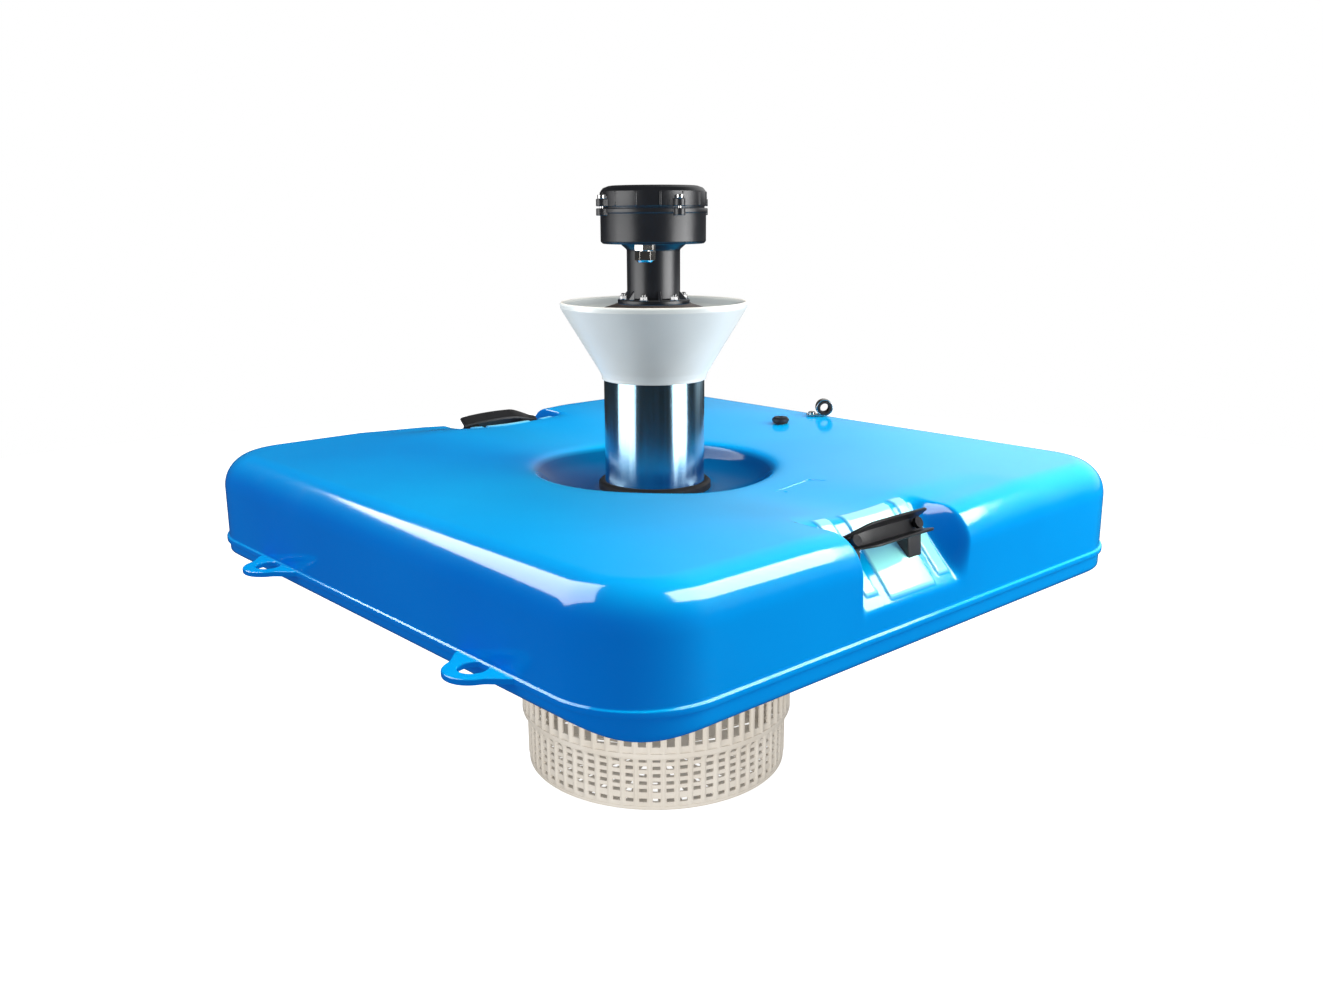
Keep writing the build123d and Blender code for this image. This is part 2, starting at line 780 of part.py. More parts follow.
with BuildPart() as motor_top_cap:
    with BuildSketch(Plane.XZ):
        with BuildLine():
            Polyline(
                (0.0, 370.0),
                (0.0, Z_MOTOR_TOP),
                (19.1, Z_MOTOR_TOP),
                (19.1, 398.0),
                (23.0, 398.0),
                (26.0, Z_MOTOR_TOP),
                (38.0, Z_MOTOR_TOP),
                (R_MOTOR, 380.0),
                (R_MOTOR, 370.0),
                (39.4, 370.0),
                (39.4, 365.0),
                (36.0, 365.0),
                (22.0, 368.0),
                (22.0, 350.0),
                (17.6, 350.0),
                (17.6, 370.0),
                close=True,
            )
        make_face()
    revolve(axis=Axis.Z)

with BuildPart() as motor_bottom_cap:
    with BuildSketch(Plane.XZ):
        with BuildLine():
            Polyline(
                (14.1, Z_MOTOR_BOTTOM),
                (30.0, Z_MOTOR_BOTTOM),
                (R_MOTOR, 192.0),
                (R_MOTOR, 200.0),
                (39.4, 200.0),
                (39.4, 205.0),
                (36.0, 205.0),
                (22.0, 203.0),
                (22.0, 218.0),
                (17.6, 218.0),
                (17.6, 200.0),
                (14.1, 200.0),
                close=True,
            )
        make_face()
    revolve(axis=Axis.Z)

with BuildPart() as stator_core:
    with BuildSketch(Plane.XY.offset(245.0)):
        Circle(39.4)
        Circle(24.0, mode=Mode.SUBTRACT)
    extrude(amount=80.0)

with BuildPart() as stator_winding:
    for z in (229.0, 325.0):
        with BuildSketch(Plane.XY.offset(z)):
            Circle(37.0)
            Circle(26.0, mode=Mode.SUBTRACT)
        extrude(amount=16.0)

with BuildPart() as motor_rotor:
    with BuildSketch(Plane.XY.offset(245.0)):
        Circle(23.6)
        Circle(R_SHAFT + 0.02, mode=Mode.SUBTRACT)
    extrude(amount=80.0)

with BuildPart() as motor_shaft:
    with BuildSketch(Plane.XY.offset(Z_PROP)):
        Circle(R_SHAFT)
    extrude(amount=240.0 - 4.0)
    with BuildSketch(Plane.XY.offset(115.0)):
        Circle(5.0)
    extrude(amount=12.0)

with BuildPart() as upper_bearing:
    with BuildSketch(Plane.XY.offset(350.0)):
        Circle(17.55)
        Circle(R_SHAFT + 0.05, mode=Mode.SUBTRACT)
    extrude(amount=11.0)

with BuildPart() as lower_bearing:
    with BuildSketch(Plane.XY.offset(206.0)):
        Circle(17.55)
        Circle(R_SHAFT + 0.05, mode=Mode.SUBTRACT)
    extrude(amount=11.0)

with BuildPart() as shaft_seal:
    with BuildSketch(Plane.XY.offset(188.0)):
        Circle(14.05)
        Circle(R_SHAFT + 0.08, mode=Mode.SUBTRACT)
    extrude(amount=9.0)

with BuildPart() as motor_spider:
    with BuildSketch(Plane.XY.offset(203.0)):
        Circle(44.0)
        with PolarLocations(50.0, 4):
            Rectangle(13.5, 3.0)
        Circle(R_MOTOR + 0.05, mode=Mode.SUBTRACT)
    extrude(amount=26.0)
    with BuildSketch(Plane.XY.offset(203.0)):
        Circle(R_RISER - RISER_T - 0.1)
        Circle(R_RISER - RISER_T - 2.6, mode=Mode.SUBTRACT)
        with PolarLocations(50.0, 4, start_angle=45):
            Rectangle(60.0, 60.0, mode=Mode.SUBTRACT)
    extrude(amount=18.0)
    for angle in (0, 90, 180, 270):
        with BuildSketch(
            Plane(origin=(0, 0, 212), x_dir=(0, 0, 1), z_dir=(*polar(1, angle), 0))
        ):
            Circle(2.6)
        extrude(amount=70.0, mode=Mode.SUBTRACT)

with BuildPart() as spider_screws:
    for angle in (0, 90, 180, 270):
        direction = (*polar(1, angle), 0)
        with BuildSketch(
            Plane(
                origin=(*polar(R_RISER - 10.0, angle), 212),
                x_dir=(0, 0, 1),
                z_dir=direction,
            )
        ):
            Circle(2.5)
        extrude(amount=10.4)
        with BuildSketch(
            Plane(
                origin=(*polar(R_RISER + 0.3, angle), 212),
                x_dir=(0, 0, 1),
                z_dir=direction,
            )
        ):
            RegularPolygon(4.6, 6)
        extrude(amount=3.5)

# ---------------------------------------------------------------- propeller
with BuildPart() as propeller:
    with BuildSketch(Plane.XY.offset(Z_PROP)):
        Circle(16.0)
    extrude(amount=PROP_H)
    for n in range(BLADES):
        angle = 360.0 / BLADES * n
        c, s = cos(radians(angle)), sin(radians(angle))
        for_root = Plane(origin=(13.0 * c, 13.0 * s, Z_PROP + 15.0), x_dir=(-s, c, 0), z_dir=(c, s, 0))
        for_tip = Plane(origin=(R_PROP * c, R_PROP * s, Z_PROP + 15.0), x_dir=(-s, c, 0), z_dir=(c, s, 0))
        with BuildSketch(for_root.rotated((0, 0, 0))):
            with Locations(Location((0, 0, 0), 48.0)):
                Rectangle(30.0, 4.0)
        with BuildSketch(for_tip):
            with Locations(Location((0, 0, 0), 22.0)):
                Rectangle(44.0, 2.6)
        loft()
    with BuildSketch(Plane.XY.offset(Z_PROP - 20)):
        Circle(90.0)
        Circle(R_PROP, mode=Mode.SUBTRACT)
    extrude(amount=80.0, mode=Mode.SUBTRACT)
    with BuildSketch(Plane.XY.offset(Z_PROP - 20)):
        Circle(R_SHAFT + 0.02)
    extrude(amount=80.0, mode=Mode.SUBTRACT)

with BuildPart() as propeller_nut:
    with BuildSketch(Plane.XY.offset(113.5)):
        RegularPolygon(9.6, 6)
    extrude(amount=12.5)
    with BuildSketch(Plane.XY.offset(114.5)):
        Circle(5.02)
    extrude(amount=20.0, mode=Mode.SUBTRACT)

# ---------------------------------------------------------------- strainer basket
with BuildPart() as strainer_basket:
    with BuildSketch(Plane.XZ):
        with BuildLine():
            Polyline(
                (0.0, 0.0),
                (R_BASKET - 2.0, 0.0),
                (R_BASKET, 2.0),
                (R_BASKET, 44.0),
                (R_BASKET_UPPER, 62.0),
                (R_BASKET_UPPER, Z_FLOAT_BOTTOM),
                (R_BASKET_UPPER - BASKET_T - 3.0, Z_FLOAT_BOTTOM),
                (R_BASKET_UPPER - BASKET_T, 222.0),
                (R_BASKET_UPPER - BASKET_T, 62.5),
                (R_BASKET - BASKET_T, 44.5),
                (R_BASKET - BASKET_T, 4.0),
                (0.0, 4.0),
                close=True,
            )
        make_face()
    revolve(axis=Axis.Z)
    with BuildSketch(Plane.XY.offset(Z_FLOAT_BOTTOM - 6.0)):
        for angle in (45, 135, 225, 315):
            with Locations(Location((*polar(BASKET_LUG_R, angle), 0), angle)):
                Circle(9.0)
            with Locations(Location((*polar(168.0, angle), 0), angle)):
                Rectangle(16.0, 18.0)
    extrude(amount=6.0)
    with BuildSketch(Plane.XY.offset(Z_FLOAT_BOTTOM - 10.0)):
        Circle(R_BASKET_UPPER - BASKET_T - 3.0)
    extrude(amount=11.0, mode=Mode.SUBTRACT)
    with BuildSketch(Plane.XY.offset(Z_FLOAT_BOTTOM - 10.0)):
        with PolarLocations(BASKET_LUG_R, 4, start_angle=45):
            Circle(3.3)
    extrude(amount=12.0, mode=Mode.SUBTRACT)
    # windows of the wall: three tiers of upright slots
    for z0, height in ((10.0, 30.0), (84.0, 58.0), (152.0, 58.0)):
        with BuildSketch(Plane.XY.offset(z0)):
            with PolarLocations(R_BASKET_UPPER - 4.0, 32):
                Rectangle(20.0, 8.0)
        extrude(amount=height, mode=Mode.SUBTRACT)
    # slots of the floor
    with BuildSketch(Plane.XY.offset(-1.0)):
        with PolarLocations(118.0, 24):
            Rectangle(50.0, 8.0)
        with PolarLocations(62.0, 12):
            Rectangle(40.0, 8.0)
    extrude(amount=6.0, mode=Mode.SUBTRACT)

with BuildPart() as basket_screws:
    with BuildSketch(Plane.XY.offset(Z_FLOAT_BOTTOM - 6.0)):
        with PolarLocations(BASKET_LUG_R, 4, start_angle=45):
            Circle(3.0)
    extrude(amount=19.0)
    with BuildSketch(Plane.XY.offset(Z_FLOAT_BOTTOM - 10.0)):
        with PolarLocations(BASKET_LUG_R, 4, start_angle=45):
            RegularPolygon(5.8, 6)
    extrude(amount=4.0)

# ---------------------------------------------------------------- labels and files
float_upper_shell.part.label = "float_upper_shell"
export_step(float_upper_shell.part, "parts/float_upper_shell.step")
float_lower_shell.part.label = "float_lower_shell"
export_step(float_lower_shell.part, "parts/float_lower_shell.step")
handle_grip_front.part.label = "handle_grip_front"
export_step(handle_grip_front.part, "parts/handle_grip_front.step")
handle_grip_rear.part.label = "handle_grip_rear"
export_step(handle_grip_rear.part, "parts/handle_grip_rear.step")
handle_screws.part.label = "handle_screws"
export_step(handle_screws.part, "parts/handle_screws.step")
float_plug.part.label = "float_plug"
export_step(float_plug.part, "parts/float_plug.step")
plug_seal.part.label = "plug_seal"
export_step(plug_seal.part, "parts/plug_seal.step")
cable_clip.part.label = "cable_clip"
export_step(cable_clip.part, "parts/cable_clip.step")
clip_liner.part.label = "clip_liner"
export_step(clip_liner.part, "parts/clip_liner.step")
clip_screw.part.label = "clip_screw"
export_step(clip_screw.part, "parts/clip_screw.step")
riser_tube.part.label = "riser_tube"
export_step(riser_tube.part, "parts/riser_tube.step")
riser_flange.part.label = "riser_flange"
export_step(riser_flange.part, "parts/riser_flange.step")
riser_bolts.part.label = "riser_bolts"
export_step(riser_bolts.part, "parts/riser_bolts.step")
tube_collar.part.label = "tube_collar"
export_step(tube_collar.part, "parts/tube_collar.step")
spray_cone.part.label = "spray_cone"
export_step(spray_cone.part, "parts/spray_cone.step")
deflector_plate.part.label = "deflector_plate"
export_step(deflector_plate.part, "parts/deflector_plate.step")
motor_stem.part.label = "motor_stem"
export_step(motor_stem.part, "parts/motor_stem.step")
stem_spider.part.label = "stem_spider"
export_step(stem_spider.part, "parts/stem_spider.step")
neck_bolts.part.label = "neck_bolts"
export_step(neck_bolts.part, "parts/neck_bolts.step")
neck_nuts.part.label = "neck_nuts"
export_step(neck_nuts.part, "parts/neck_nuts.step")
neck_foot.part.label = "neck_foot"
export_step(neck_foot.part, "parts/neck_foot.step")
terminal_neck.part.label = "terminal_neck"
export_step(terminal_neck.part, "parts/terminal_neck.step")
terminal_base.part.label = "terminal_base"
export_step(terminal_base.part, "parts/terminal_base.step")
terminal_housing.part.label = "terminal_housing"
export_step(terminal_housing.part, "parts/terminal_housing.step")
terminal_lid.part.label = "terminal_lid"
export_step(terminal_lid.part, "parts/terminal_lid.step")
lid_screws.part.label = "lid_screws"
export_step(lid_screws.part, "parts/lid_screws.step")
lid_seal.part.label = "lid_seal"
export_step(lid_seal.part, "parts/lid_seal.step")
gland_body.part.label = "gland_body"
export_step(gland_body.part, "parts/gland_body.step")
gland_locknut.part.label = "gland_locknut"
export_step(gland_locknut.part, "parts/gland_locknut.step")
gland_seal.part.label = "gland_seal"
export_step(gland_seal.part, "parts/gland_seal.step")
gland_nut.part.label = "gland_nut"
export_step(gland_nut.part, "parts/gland_nut.step")
terminal_block.part.label = "terminal_block"
export_step(terminal_block.part, "parts/terminal_block.step")
run_capacitor.part.label = "run_capacitor"
export_step(run_capacitor.part, "parts/run_capacitor.step")
motor_lead.part.label = "motor_lead"
export_step(motor_lead.part, "parts/motor_lead.step")
motor_can.part.label = "motor_can"
export_step(motor_can.part, "parts/motor_can.step")
motor_top_cap.part.label = "motor_top_cap"
export_step(motor_top_cap.part, "parts/motor_top_cap.step")
motor_bottom_cap.part.label = "motor_bottom_cap"
export_step(motor_bottom_cap.part, "parts/motor_bottom_cap.step")
stator_core.part.label = "stator_core"
export_step(stator_core.part, "parts/stator_core.step")
stator_winding.part.label = "stator_winding"
export_step(stator_winding.part, "parts/stator_winding.step")
motor_rotor.part.label = "motor_rotor"
export_step(motor_rotor.part, "parts/motor_rotor.step")
motor_shaft.part.label = "motor_shaft"
export_step(motor_shaft.part, "parts/motor_shaft.step")
upper_bearing.part.label = "upper_bearing"
export_step(upper_bearing.part, "parts/upper_bearing.step")
lower_bearing.part.label = "lower_bearing"
export_step(lower_bearing.part, "parts/lower_bearing.step")
shaft_seal.part.label = "shaft_seal"
export_step(shaft_seal.part, "parts/shaft_seal.step")
motor_spider.part.label = "motor_spider"
export_step(motor_spider.part, "parts/motor_spider.step")
spider_screws.part.label = "spider_screws"
export_step(spider_screws.part, "parts/spider_screws.step")
propeller.part.label = "propeller"
export_step(propeller.part, "parts/propeller.step")
propeller_nut.part.label = "propeller_nut"
export_step(propeller_nut.part, "parts/propeller_nut.step")
strainer_basket.part.label = "strainer_basket"
export_step(strainer_basket.part, "parts/strainer_basket.step")
basket_screws.part.label = "basket_screws"
export_step(basket_screws.part, "parts/basket_screws.step")
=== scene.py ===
import json
import math

import bpy
import bmesh
import numpy as np
from mathutils import Matrix, Vector

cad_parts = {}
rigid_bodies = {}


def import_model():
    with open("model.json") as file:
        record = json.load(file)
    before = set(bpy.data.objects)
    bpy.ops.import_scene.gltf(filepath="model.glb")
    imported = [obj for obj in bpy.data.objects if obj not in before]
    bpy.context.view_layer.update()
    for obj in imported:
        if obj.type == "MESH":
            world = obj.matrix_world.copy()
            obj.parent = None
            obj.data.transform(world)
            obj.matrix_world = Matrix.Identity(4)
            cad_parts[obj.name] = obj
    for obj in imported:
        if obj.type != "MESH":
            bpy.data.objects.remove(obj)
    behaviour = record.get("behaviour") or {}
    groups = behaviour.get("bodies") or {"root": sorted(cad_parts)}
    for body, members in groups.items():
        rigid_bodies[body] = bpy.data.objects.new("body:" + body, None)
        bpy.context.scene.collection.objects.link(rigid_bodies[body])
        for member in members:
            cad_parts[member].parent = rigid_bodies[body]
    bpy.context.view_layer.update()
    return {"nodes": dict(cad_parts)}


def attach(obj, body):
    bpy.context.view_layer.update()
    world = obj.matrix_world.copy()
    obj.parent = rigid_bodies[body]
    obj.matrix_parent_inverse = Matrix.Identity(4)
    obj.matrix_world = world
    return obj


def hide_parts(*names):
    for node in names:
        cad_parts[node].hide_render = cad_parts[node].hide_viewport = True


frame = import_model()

NODES = frame["nodes"]
MM = 0.001


# ------------------------------------------------------------------ mesh helpers
def new_object(name, verts, faces, material, smooth_angle=35.0):
    """A mesh object from points in millimetres."""
    mesh = bpy.data.meshes.new(name)
    mesh.from_pydata([tuple(float(c) * MM for c in v) for v in verts], [], faces)
    mesh.validate()
    bm = bmesh.new()
    bm.from_mesh(mesh)
    bmesh.ops.recalc_face_normals(bm, faces=bm.faces)
    bm.to_mesh(mesh)
    bm.free()
    mesh.shade_smooth()
    mesh.set_sharp_from_angle(angle=math.radians(smooth_angle))
    obj = bpy.data.objects.new(name, mesh)
    bpy.context.scene.collection.objects.link(obj)
    obj.data.materials.append(material)
    return obj


def bevel(obj, width, segments=2, angle=30.0):
    mod = obj.modifiers.new("edges", "BEVEL")
    mod.width = width * MM
    mod.segments = segments
    mod.limit_method = "ANGLE"
    mod.angle_limit = math.radians(angle)
    mod.use_clamp_overlap = True
    mod.harden_normals = False
    return obj


def rounded(poly, radius=1.0, steps=4, special=None):
    """A closed polygon with its corners rounded. Points on the axis stay."""
    special = special or {}
    out = []
    n = len(poly)
    for i in range(n):
        p = np.array(poly[i], float)
        a = np.array(poly[i - 1], float)
        b = np.array(poly[(i + 1) % n], float)
        r = special.get(i, radius)
        if r <= 0 or p[0] == 0.0:
            out.append(tuple(p))
            continue
        ua, ub = a - p, b - p
        la, lb = np.linalg.norm(ua), np.linalg.norm(ub)
        ua, ub = ua / la, ub / lb
        cosang = float(np.clip(ua @ ub, -1, 1))
        ang = math.acos(cosang)
        if ang > math.radians(176):
            out.append(tuple(p))
            continue
        reach = min(r / math.tan(ang / 2), 0.45 * la, 0.45 * lb)
        rr = reach * math.tan(ang / 2)
        mid = (ua + ub) / np.linalg.norm(ua + ub)
        centre = p + mid * rr / math.sin(ang / 2)
        s, e = p + ua * reach - centre, p + ub * reach - centre
        a0 = math.atan2(s[1], s[0])
        a1 = math.atan2(e[1], e[0])
        d = (a1 - a0 + math.pi) % (2 * math.pi) - math.pi
        for k in range(steps + 1):
            t = a0 + d * k / steps
            out.append((centre[0] + rr * math.cos(t), centre[1] + rr * math.sin(t)))
    return out


def lathe_data(profile, segments=128, centre=(0.0, 0.0)):
    """Closed solid of revolution about a vertical axis. profile is (radius, z)."""
    verts, faces, index = [], [], []
    for r, z in profile:
        if r <= 1e-6:
            index.append([len(verts)] * segments)
            verts.append((centre[0], centre[1], z))
        else:
            index.append(list(range(len(verts), len(verts) + segments)))
            for k in range(segments):
                a = 2 * math.pi * k / segments
                verts.append((centre[0] + r * math.cos(a), centre[1] + r * math.sin(a), z))
    n = len(profile)
    for i in range(n):
        a, b = index[i], index[(i + 1) % n]
        if profile[i][0] <= 1e-6 and profile[(i + 1) % n][0] <= 1e-6:
            continue
        for k in range(segments):
            q = [a[k], a[(k + 1) % segments], b[(k + 1) % segments], b[k]]
            f = []
            for v in q:
                if v not in f:
                    f.append(v)
            if len(f) >= 3:
                faces.append(tuple(f))
    return verts, faces


def prism_data(outline, z0, z1):
    n = len(outline)
    verts = [(x, y, z0) for x, y in outline] + [(x, y, z1) for x, y in outline]
    faces = [tuple(range(n))[::-1], tuple(range(n, 2 * n))]
    faces += [(k, (k + 1) % n, n + (k + 1) % n, n + k) for k in range(n)]
    return verts, faces


def ring_prism_data(outer, inner, z0, z1):
    """A plate with one hole. Both outlines have as many points."""
    n = len(outer)
    verts = [(x, y, z0) for x, y in outer] + [(x, y, z1) for x, y in outer]
    verts += [(x, y, z0) for x, y in inner] + [(x, y, z1) for x, y in inner]
    faces = []
    for k in range(n):
        j = (k + 1) % n
        faces.append((k, j, n + j, n + k))
        faces.append((2 * n + j, 2 * n + k, 3 * n + k, 3 * n + j))
        faces.append((n + k, n + j, 3 * n + j, 3 * n + k))
        faces.append((j, k, 2 * n + k, 2 * n + j))
    return verts, faces


def polygon(cx, cy, r, n, turn=0.0):
    return [
        (
            cx + r * math.cos(math.radians(turn) + 2 * math.pi * k / n),
            cy + r * math.sin(math.radians(turn) + 2 * math.pi * k / n),
        )
        for k in range(n)
    ]


def hexagon_ring(cx, cy, r, turn=0.0, per_side=6):
    corners = polygon(cx, cy, r, 6, turn)
    out = []
    for k in range(6):
        (x0, y0), (x1, y1) = corners[k], corners[(k + 1) % 6]
        for s in range(per_side):
            t = s / per_side
            out.append((x0 + (x1 - x0) * t, y0 + (y1 - y0) * t))
    return out


def circle_like(outline, cx, cy, r):
    """Points of a circle in the directions of an outline's points."""
    out = []
    for x, y in outline:
        d = math.hypot(x - cx, y - cy)
        out.append((cx + (x - cx) / d * r, cy + (y - cy) / d * r))
    return out


def turned(data, angle, about=(0.0, 0.0)):
    c, s = math.cos(math.radians(angle)), math.sin(math.radians(angle))
    v = [
        (
            about[0] + (x - about[0]) * c - (y - about[1]) * s,
            about[1] + (x - about[0]) * s + (y - about[1]) * c,
            z,
        )
        for x, y, z in data[0]
    ]
    return v, data[1]


def joined(parts):
    verts, faces = [], []
    for v, f in parts:
        o = len(verts)
        verts += list(v)
        faces += [tuple(i + o for i in q) for q in f]
    return verts, faces


def place(obj, body, slot, *replaced):
    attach(obj, body)
    if replaced:
        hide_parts(*replaced)
    return obj


def smoothstep(a, b, x):
    t = np.clip((np.asarray(x, float) - a) / (b - a), 0.0, 1.0)
    return t * t * (3 - 2 * t)


# ------------------------------------------------------------------ materials
def material(name, base, second, rough=(0.3, 0.4), metallic=0.0, scale=20.0,
             bump=0.02, bump_scale=400.0, stretch=(1, 1, 1), coat=0.0,
             coat_rough=0.1, scuff=0.0, specular=0.5, anisotropic=0.0,
             bump_distance=0.0004, wear=None):
    """Noise-driven colour, roughness and bump on the principled shader."""
    m = bpy.data.materials.new(name)
    m.use_nodes = True
    nt = m.node_tree
    nodes, links = nt.nodes, nt.links
    bsdf = nodes["Principled BSDF"]
    bsdf.inputs["Metallic"].default_value = metallic
    bsdf.inputs["Specular IOR Level"].default_value = specular
    bsdf.inputs["Coat Weight"].default_value = coat
    bsdf.inputs["Coat Roughness"].default_value = coat_rough
    bsdf.inputs["Anisotropic"].default_value = anisotropic
    coords = nodes.new("ShaderNodeTexCoord")
    mapping = nodes.new("ShaderNodeMapping")
    mapping.inputs["Scale"].default_value = stretch
    links.new(coords.outputs["Object"], mapping.inputs["Vector"])
    cloud = nodes.new("ShaderNodeTexNoise")
    cloud.inputs["Scale"].default_value = scale
    cloud.inputs["Detail"].default_value = 5.0
    links.new(mapping.outputs["Vector"], cloud.inputs["Vector"])
    ramp = nodes.new("ShaderNodeMapRange")
    ramp.inputs["From Min"].default_value = 0.3
    ramp.inputs["From Max"].default_value = 0.7
    links.new(cloud.outputs["Fac"], ramp.inputs["Value"])
    mix = nodes.new("ShaderNodeMix")
    mix.data_type = "RGBA"
    mix.inputs[6].default_value = (*base, 1)
    mix.inputs[7].default_value = (*second, 1)
    links.new(ramp.outputs["Result"], mix.inputs[0])
    colour = mix.outputs[2]
    fine = nodes.new("ShaderNodeTexNoise")
    fine.inputs["Scale"].default_value = bump_scale
    fine.inputs["Detail"].default_value = 3.0
    links.new(mapping.outputs["Vector"], fine.inputs["Vector"])
    rr = nodes.new("ShaderNodeMapRange")
    rr.inputs["From Min"].default_value = 0.3
    rr.inputs["From Max"].default_value = 0.7
    rr.inputs["To Min"].default_value = rough[0]
    rr.inputs["To Max"].default_value = rough[1]
    roughness = rr.outputs["Result"]
    if scuff:
        rub = nodes.new("ShaderNodeTexNoise")
        rub.inputs["Scale"].default_value = 9.0
        rub.inputs["Detail"].default_value = 9.0
        rub.inputs["Roughness"].default_value = 0.75
        links.new(coords.outputs["Object"], rub.inputs["Vector"])
        sel = nodes.new("ShaderNodeMapRange")
        sel.inputs["From Min"].default_value = 0.56
        sel.inputs["From Max"].default_value = 0.74
        sel.inputs["To Max"].default_value = scuff
        links.new(rub.outputs["Fac"], sel.inputs["Value"])
        add = nodes.new("ShaderNodeMath")
        add.operation = "ADD"
        links.new(rr.outputs["Result"], add.inputs[0])
        links.new(sel.outputs["Result"], add.inputs[1])
        roughness = add.outputs["Value"]
    links.new(fine.outputs["Fac"], rr.inputs["Value"])
    links.new(roughness, bsdf.inputs["Roughness"])
    bmp = nodes.new("ShaderNodeBump")
    bmp.inputs["Strength"].default_value = bump
    bmp.inputs["Distance"].default_value = bump_distance
    links.new(fine.outputs["Fac"], bmp.inputs["Height"])
    links.new(bmp.outputs["Normal"], bsdf.inputs["Normal"])
    if wear:
        geo = nodes.new("ShaderNodeNewGeometry")
        edge = nodes.new("ShaderNodeMapRange")
        edge.inputs["From Min"].default_value = 0.53
        edge.inputs["From Max"].default_value = 0.62
        links.new(geo.outputs["Pointiness"], edge.inputs["Value"])
        half = nodes.new("ShaderNodeMath")
        half.operation = "MULTIPLY"
        half.inputs[1].default_value = 0.5
        links.new(edge.outputs["Result"], half.inputs[0])
        mix2 = nodes.new("ShaderNodeMix")
        mix2.data_type = "RGBA"
        links.new(half.outputs["Value"], mix2.inputs[0])
        links.new(colour, mix2.inputs[6])
        mix2.inputs[7].default_value = (*wear, 1)
        colour = mix2.outputs[2]
    links.new(colour, bsdf.inputs["Base Color"])
    return m


M = {}
M["blue"] = material("float_blue", (0.0, 0.170, 0.70), (0.0, 0.200, 0.76), rough=(0.08, 0.11), specular=0.26,
                     scale=4.0, bump=0.04, bump_scale=140.0, coat=0.0, scuff=0.07, bump_distance=0.0006)
M["grip"] = material("grip_rubber", (0.012, 0.012, 0.014), (0.020, 0.020, 0.022), rough=(0.30, 0.44),
                     scale=60.0, bump=0.25, bump_scale=1400.0, wear=(0.05, 0.048, 0.045))
M["plug"] = material("plug_plastic", (0.018, 0.020, 0.028), (0.03, 0.032, 0.04), rough=(0.35, 0.5),
                     scale=80.0, bump=0.2, bump_scale=1500.0)
M["rubber"] = material("seal_rubber", (0.014, 0.014, 0.015), (0.022, 0.022, 0.022), rough=(0.5, 0.65),
                       scale=70.0, bump=0.3, bump_scale=1200.0)
M["steel"] = material("fastener_steel", (0.62, 0.61, 0.60), (0.74, 0.73, 0.71), rough=(0.16, 0.30),
                      metallic=1.0, scale=120.0, bump=0.08, bump_scale=900.0, stretch=(1, 1, 0.25))
M["dark_steel"] = material("screw_dark_steel", (0.05, 0.05, 0.055), (0.085, 0.085, 0.09), rough=(0.3, 0.42),
                           metallic=0.9, scale=150.0, bump=0.1, bump_scale=1200.0)
M["stainless"] = material("stainless_satin", (0.50, 0.51, 0.52), (0.62, 0.63, 0.64), rough=(0.22, 0.36),
                          metallic=1.0, scale=40.0, bump=0.06, bump_scale=500.0, stretch=(1, 1, 0.2))
# cone_white: the side colour is a darker blue-grey as painted shade and a painted blue reflection of the float; upward
# faces are painted paler below
M["cone"] = material("cone_white", (0.45, 0.495, 0.51), (0.50, 0.545, 0.56), rough=(0.30, 0.40),
                     scale=14.0, bump=0.10, bump_scale=700.0, scuff=0.08)
M["bronze"] = material("bronze_brown", (0.095, 0.073, 0.064), (0.15, 0.118, 0.102), rough=(0.34, 0.55),
                       metallic=0.35, scale=60.0, bump=0.35, bump_scale=700.0, wear=(0.22, 0.17, 0.14))
M["black"] = material("housing_black", (0.0075, 0.0085, 0.0115), (0.0115, 0.0125, 0.016), rough=(0.28, 0.36), specular=0.62,
                      scale=40.0, bump=0.12, bump_scale=1300.0, scuff=0.10, wear=(0.04, 0.042, 0.047))
M["stud"] = material("stud_steel", (0.26, 0.26, 0.26), (0.36, 0.355, 0.35), rough=(0.22, 0.36),
                     metallic=1.0, scale=120.0, bump=0.1, bump_scale=900.0, stretch=(1, 1, 0.25))
M["nickel"] = material("nickel_plate", (0.72, 0.69, 0.65), (0.82, 0.79, 0.75), rough=(0.08, 0.16),
                       metallic=1.0, scale=90.0, bump=0.04, bump_scale=900.0)
M["block"] = material("terminal_grey", (0.42, 0.42, 0.40), (0.50, 0.50, 0.47), rough=(0.5, 0.6),
                      scale=60.0, bump=0.15, bump_scale=900.0)
M["can"] = material("capacitor_can", (0.62, 0.62, 0.62), (0.72, 0.72, 0.72), rough=(0.2, 0.34),
                    metallic=1.0, scale=50.0, bump=0.05, bump_scale=600.0, stretch=(1, 1, 0.15))
M["lead"] = material("lead_rubber", (0.016, 0.016, 0.017), (0.024, 0.024, 0.025), rough=(0.45, 0.6),
                     scale=80.0, bump=0.2, bump_scale=1100.0)
M["cast"] = material("cast_cap", (0.055, 0.058, 0.062), (0.085, 0.088, 0.092), rough=(0.45, 0.65),
                     metallic=0.5, scale=70.0, bump=0.5, bump_scale=800.0)
M["lamination"] = material("lamination_steel", (0.16, 0.16, 0.165), (0.24, 0.24, 0.245), rough=(0.4, 0.55),
                           metallic=0.8, scale=30.0, bump=0.35, bump_scale=900.0, stretch=(0.05, 0.05, 3))
M["copper"] = material("winding_copper", (0.50, 0.20, 0.085), (0.62, 0.27, 0.12), rough=(0.28, 0.42),
                       metallic=1.0, scale=90.0, bump=0.4, bump_scale=700.0, stretch=(0.3, 0.3, 2))
M["cream"] = material("basket_cream", (0.66, 0.60, 0.515), (0.735, 0.685, 0.61), rough=(0.42, 0.55),
                      scale=16.0, bump=0.15, bump_scale=700.0, scuff=0.10, wear=(0.80, 0.76, 0.69))
